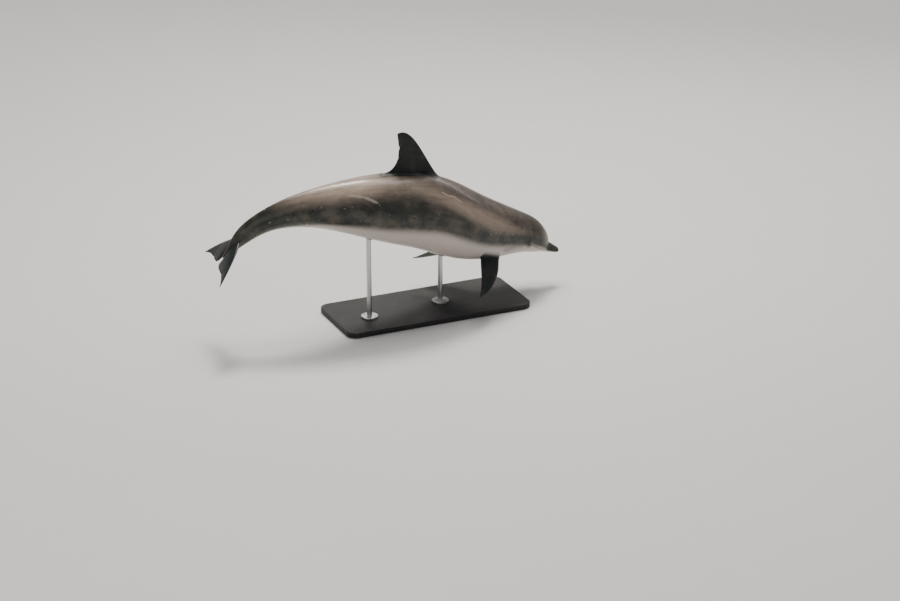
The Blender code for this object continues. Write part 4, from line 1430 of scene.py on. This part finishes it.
class DOLPHIN_OT_skin(bpy.types.Operator):
    """Build the one skin that covers the whole body, with its lids, mouth, blowhole and fins"""

    bl_idname = "dolphin.skin"
    bl_label = "Skin"

    def execute(self, context):
        looks = context.scene.dolphin_skin
        surface = straight_surface(looks)
        data = mesh_of("skin", surface, softened(surface))
        store(data, "hinge", "FLOAT", surface.hinges)
        store(data, "fin", "FLOAT", surface.fin_shares)
        charts = data.attributes.new("chart", "INT", "FACE")
        charts.data.foreach_set("value", surface.charts)
        with opened(data) as mesh:
            unused = [vertex for vertex in mesh.verts if not vertex.link_faces]
            bmesh.ops.delete(mesh, geom=unused, context="VERTS")
            refine(mesh)
            bmesh.ops.recalc_face_normals(mesh, faces=mesh.faces)
        places = read(data.vertices, "co", float)
        hinges, fin = (read(data.attributes[name].data, "value") for name in ("hinge", "fin"))
        normals = read(data.vertex_normals, "vector", float)
        flat, hidden = press_details(places, normals, fin < ON_FIN, looks)
        self.store_places(data, places, fin, hidden)
        self.lay_out(data, places)
        data.vertices.foreach_set("co", bent(flat, hinges).ravel())
        for name in ("hinge", "fin", "chart"):
            data.attributes.remove(data.attributes[name])
        data.update()
        add_piece("skin", data, new_material("wet_skin", wet_skin, looks), "skin_dark", *FLESH)
        self.test_fit(data)
        return {"FINISHED"}

    def store_places(self, data, places, fin, hidden):
        """Keeps where each point lies on the straight body, for the markings."""
        station = -places[:, 0] / LENGTH
        samples = np.concatenate([np.linspace(*run) for run in HEIGHT_SAMPLES])
        ends = np.array([section(sample)[[-1, 0], 1] for sample in samples])
        low, high = (np.interp(station, samples, column) for column in ends.T)
        height = np.clip((places[:, 2] - low) / (high - low), 0, 1.2)
        store(data, "rest", "FLOAT_VECTOR", places)
        store(data, "lay", "FLOAT_VECTOR", np.stack([station, height, fin], axis=1))
        # How deep in painted crease shade each point lies
        store(data, "hidden", "FLOAT", hidden)

    def lay_out(self, data, places):
        """The map that finishes are baked through: the body as a strip, with the fins' sides above it."""
        sizes = read(data.polygons, "loop_total", np.int32)
        charts = np.repeat(read(data.attributes["chart"].data, "value", np.int32), sizes)
        face = np.repeat(np.arange(len(sizes)), sizes)
        x, y, z = places[read(data.loops, "vertex_index", np.int32)].T
        station = np.clip(-x / LENGTH, 0, 1)
        turn = np.arctan2(y, z - side_line(station) * LENGTH) / (2 * math.pi)
        mean = np.bincount(face, np.abs(turn)) / sizes
        side = np.sign(np.bincount(face, np.sign(turn)) + 0.5)[face]
        crosses = (mean[face] > 0.25) & (turn * side < 0)
        turn = np.where(crosses, turn + side, turn)
        u = np.interp(station, MAP_STATIONS, MAP_ALONG)
        v = MAP_BACK + MAP_ROUND * turn
        out = np.abs(y) + np.abs(z)
        for chart in range(1, charts.max() + 1):
            on = charts == chart
            along = np.interp(-x[on], (-x[on].max(), -x[on].min()), (0, 1))
            u[on] = MAP_ALONG[0] + MAP_FIN_STEP * (chart - 1) + MAP_FIN_LENGTH * along
            v[on] = MAP_FIN_FOOT + MAP_FIN_REACH * (out[on] - out[on].min()) / np.ptp(out[on])
        layer = data.uv_layers.new(name="OFBake")
        layer.data.foreach_set("uv", np.stack([u, v], axis=1).astype(np.float32).ravel())

    def test_fit(self, data):
        """The skin has to lie where the solids of the flesh do."""
        boxes = np.array([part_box(node) for node in FLESH])
        places = read(data.vertices, "co", float)
        low = np.abs(places.min(axis=0) - boxes[:, 0].min(axis=0))
        high = np.abs(places.max(axis=0) - boxes[:, 1].max(axis=0))
        apart = max(low.max(), high.max())
        if apart > FIT_LIMIT:
            raise RuntimeError(f"the skin's box is {apart:.4f} m from that of the solids")


class DOLPHIN_OT_eyes(bpy.types.Operator):
    """Build both eyeballs, with their corneas"""

    bl_idname = "dolphin.eyes"
    bl_label = "Eyes"

    def execute(self, context):
        looks = context.scene.dolphin_eyes
        material = new_material("dark_eye", dark_eye, looks)
        cosine, sine = circle(EYE_POINTS)
        loops, gaze = [], []
        for lean in np.linspace(0, math.pi, EYE_ROWS + 2)[1:-1]:
            out = np.sin(lean)
            local = np.stack([out * cosine, 0 * sine + np.cos(lean), out * sine], axis=1)
            swell = looks.cornea_rise * smoothstep((CORNEA_REACH - lean) / CORNEA_REACH)
            loops.append((EYE_RADIUS - EYE_GAP + swell) * local)
            gaze.append(local[:, [0, 2, 1]])
        gaze = np.concatenate([*gaze, [[0, 0, 1], [0, 0, -1]]])
        surface = Surface()
        surface.close(loops, [(0, EYE_RADIUS + looks.cornea_rise, 0), (0, -EYE_RADIUS, 0)])
        for side, name in ((1, "left"), (-1, "right")):
            places = (np.array(surface.places) + eye_centre()) * (1, side, 1)
            data = mesh_of(f"eyeball_{name}", surface, bent(places, np.full(len(places), EYE_STATION)))
            outward_faces(data)
            store(data, "gaze", "FLOAT_VECTOR", gaze)
            add_piece(f"eyeball_{name}", data, material, "eye_dark", f"eye_{name}")
        return {"FINISHED"}


def upright(node):
    """Middle, radius, foot and top of an upright round part of the stand."""
    low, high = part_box(node)
    return (low + high) / 2, (high.x - low.x) / 2, low.z, high.z


class DOLPHIN_OT_stand(bpy.types.Operator):
    """Paint the base and make its rods and flanges in brushed steel"""

    bl_idname = "dolphin.stand"
    bl_label = "Stand"

    def execute(self, context):
        looks = context.scene.dolphin_stand
        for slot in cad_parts["stand_base"].material_slots:
            slot.material = new_material("satin_black_paint", satin_paint, looks)
        steel = new_material("brushed_steel", brushed_steel, looks)
        for place in PLACES:
            middle, radius, foot, top = upright(f"stand_flange_{place}")
            outline = [(radius - inward, foot + up) for inward, up in FLANGE_FOOT]
            outline += [(radius - inward, top - down) for inward, down in FLANGE_TOP]
            turned_steel = new_material(f"turned_steel_{place}", brushed_steel, looks, middle)
            self.turn(f"stand_flange_{place}", outline, turned_steel)
            middle, radius, foot, top = upright(f"stand_rod_{place}")
            self.turn(f"stand_rod_{place}", [(radius, foot), (radius, top)], steel)
        return {"FINISHED"}

    def turn(self, node, outline, material):
        """A piece turned round an upright line, from the (radius, height) points of its outline."""
        middle, _, foot, top = upright(node)
        loops = [level_loop(middle, radius, height, STAND_POINTS) for radius, height in outline]
        ends = (middle.x, middle.y, foot), (middle.x, middle.y, top)
        piece = add_closed(f"{node}_steel", [(loops, ends)], material, "stand_steel", node)
        piece.data.set_sharp_from_angle(angle=SHARP_ANGLE)


# Outline of a low round screw head with a six-sided socket: share of the radius, height, six-sided
SCREW = (
    (1.0, 0.0, False), (1.0, 0.42, False), (0.97, 0.52, False), (0.90, 0.58, False), (0.56, 0.60, False),
    (0.52, 0.60, True), (0.50, 0.57, True), (0.50, 0.22, True), (0.30, 0.20, True),
)
SCREW_HOLLOW = 0.18


class DOLPHIN_OT_screws(bpy.types.Operator):
    """Add the screws that hold each flange to the base"""

    bl_idname = "dolphin.screws"
    bl_label = "Flange screws"

    def execute(self, context):
        looks = context.scene.dolphin_stand
        radius = looks.screw_radius
        turn = np.linspace(0, 2 * math.pi, SCREW_POINTS, endpoint=False)
        six = np.cos(math.pi / 6) / np.cos(turn % (math.pi / 3) - math.pi / 6)
        for place in PLACES:
            middle, _, _, top = upright(f"stand_flange_{place}")
            foot = top - SCREW_SINK
            shapes = []
            for i in range(looks.screw_count):
                angle = 2 * math.pi * (i + 0.5) / looks.screw_count
                x = middle.x + looks.screw_circle * math.cos(angle)
                y = middle.y + looks.screw_circle * math.sin(angle)
                loops = []
                for out, up, sided in SCREW:
                    reach = radius * out * (six if sided else 1)
                    loops.append(level_loop((x, y), reach, foot + radius * up, SCREW_POINTS))
                shapes.append((loops, [(x, y, foot), (x, y, foot + radius * SCREW_HOLLOW)]))
            steel = new_material(f"screw_steel_{place}", brushed_steel, looks)
            screws = add_closed(f"stand_screws_{place}", shapes, steel, "stand_steel")
            screws.data.set_sharp_from_angle(angle=SHARP_ANGLE)
        return {"FINISHED"}


class DOLPHIN_OT_grommets(bpy.types.Operator):
    """Add the rubber ring round each rod where it enters the belly"""

    bl_idname = "dolphin.grommets"
    bl_label = "Grommets"

    def execute(self, context):
        looks = context.scene.dolphin_stand
        material = new_material("black_rubber", black_rubber, looks)
        wide = looks.grommet_width
        outline = (
            # out from the rod, down from the belly
            (0.0002, -0.004), (0.0002, 0.0040), (0.0012, 0.0052), (wide * 0.5, 0.0050),
            (wide * 0.85, 0.0036), (wide, 0.0012), (wide, -0.004),
        )
        skin = bpy.data.objects["skin"].data
        faces = [tuple(face.vertices) for face in skin.polygons]
        belly = BVHTree.FromPolygons(read(skin.vertices, "co", float).tolist(), faces)
        for place in PLACES:
            middle, radius, foot, _ = upright(f"stand_rod_{place}")
            loops = []
            for out, drop in outline:
                loop = level_loop(middle, radius + out, foot, GROMMET_POINTS)
                for point in loop:
                    hit = belly.ray_cast(Vector(point), Vector((0, 0, 1)))[0]
                    if hit is None:
                        raise RuntimeError(f"the {place} rod doesn't meet the belly")
                    point[2] = hit.z - drop
                loops.append(loop)
            add_closed(f"stand_grommet_{place}", [(loops, ())], material, "stand_black")
        return {"FINISHED"}


# Lamps: name, place from the dolphin's middle, setting of its power, size
LAMPS = (
    ("key_lamp", (0.6, 1.6, 5.2), "key_power", (5.0, 3.0)),
    ("rim_lamp", (3.8, 4.6, 2.7), "rim_power", (9.0, 0.6)),
    ("fill_lamp", (-4.5, -6.0, 3.0), "fill_power", (4.0, 4.0)),
)
MIDDLE_STATION = 0.42
SKY_COLOUR = (0.93, 0.96, 1.0, 1.0)
SUN_DIRECTION = Vector((-0.25, -0.50, -1.0))
SUN_SPREAD = math.radians(14)


class DOLPHIN_OT_studio(bpy.types.Operator):
    """Set the pale floor, the soft lamps and the camera"""

    bl_idname = "dolphin.studio"
    bl_label = "Studio"

    def execute(self, context):
        looks = context.scene.dolphin_studio
        place = np.array([[-MIDDLE_STATION * LENGTH, 0, 0]])
        middle = Vector(bent(place, np.array([MIDDLE_STATION]))[0])
        self.add_floor(looks)
        self.add_light(looks, middle)
        self.add_camera(looks, middle)
        return {"FINISHED"}

    def add_floor(self, looks):
        data = bpy.data.meshes.new("floor")
        with opened(data) as mesh:
            bmesh.ops.create_circle(mesh, cap_ends=True, segments=FLOOR_POINTS, radius=looks.floor_radius)
        data.materials.append(new_material("pale_floor", pale_floor, looks))
        floor = hang("floor", data)

    def add_light(self, looks, middle):
        world = bpy.data.worlds.new("studio_sky")
        world.use_nodes = True
        sky = world.node_tree.nodes["Background"]
        sky.inputs["Color"].default_value = SKY_COLOUR
        sky.inputs["Strength"].default_value = looks.sky_strength
        bpy.context.scene.world = world
        for name, offset, power, size in LAMPS:
            lamp = bpy.data.lights.new(name, "AREA")
            lamp.shape = "RECTANGLE"
            lamp.size, lamp.size_y = size
            lamp.energy = getattr(looks, power)
            lamp.color = WARM_WHITE
            hang(name, lamp, middle + Vector(offset), -Vector(offset))
        sun = bpy.data.lights.new("soft_sun", "SUN")
        sun.energy = looks.sun_strength
        sun.color = WARM_WHITE
        sun.angle = SUN_SPREAD
        hang("soft_sun", sun, look=SUN_DIRECTION)

    def add_camera(self, looks, middle):
        azimuth, elevation = looks.view_azimuth, looks.view_elevation
        flat = math.cos(elevation)
        out = Vector((math.sin(azimuth) * flat, -math.cos(azimuth) * flat, math.sin(elevation)))
        right = Vector((math.cos(azimuth), math.sin(azimuth), 0))
        look = -out + math.tan(looks.view_turn) * right - math.tan(looks.view_drop) * out.cross(right)
        lens = bpy.data.cameras.new("camera")
        lens.lens = looks.focal_length
        bpy.context.scene.camera = hang("camera", lens, middle + looks.view_distance * out, look)


class DOLPHIN_PT_panel(bpy.types.Panel):
    """Lists the steps that build the model"""

    bl_idname = "DOLPHIN_PT_panel"
    bl_label = "Leaping Dolphin Model"
    bl_space_type = "VIEW_3D"
    bl_region_type = "UI"
    bl_category = "Dolphin"

    def draw(self, context):
        for name, group in SETTINGS.items():
            box = self.layout.box()
            for key in group.__annotations__:
                box.prop(getattr(context.scene, name), key)
        for operator in OPERATORS:
            self.layout.operator(operator.bl_idname)


SETTINGS = {
    "dolphin_skin": DolphinSkinSettings,
    "dolphin_eyes": DolphinEyeSettings,
    "dolphin_stand": DolphinStandSettings,
    "dolphin_studio": DolphinStudioSettings,
}
OPERATORS = (
    DOLPHIN_OT_skin, DOLPHIN_OT_eyes, DOLPHIN_OT_stand, DOLPHIN_OT_screws, DOLPHIN_OT_grommets,
    DOLPHIN_OT_studio,
)
CLASSES = (*SETTINGS.values(), *OPERATORS, DOLPHIN_PT_panel)


def register():
    for cls in CLASSES:
        bpy.utils.register_class(cls)
    for name, group in SETTINGS.items():
        setattr(bpy.types.Scene, name, PointerProperty(type=group))


def unregister():
    for name in SETTINGS:
        delattr(bpy.types.Scene, name)
    for cls in reversed(CLASSES):
        bpy.utils.unregister_class(cls)


def main():
    register()
    for operator in OPERATORS:
        getattr(bpy.ops.dolphin, operator.bl_idname.split(".")[1])()


if __name__ == "__main__":
    main()
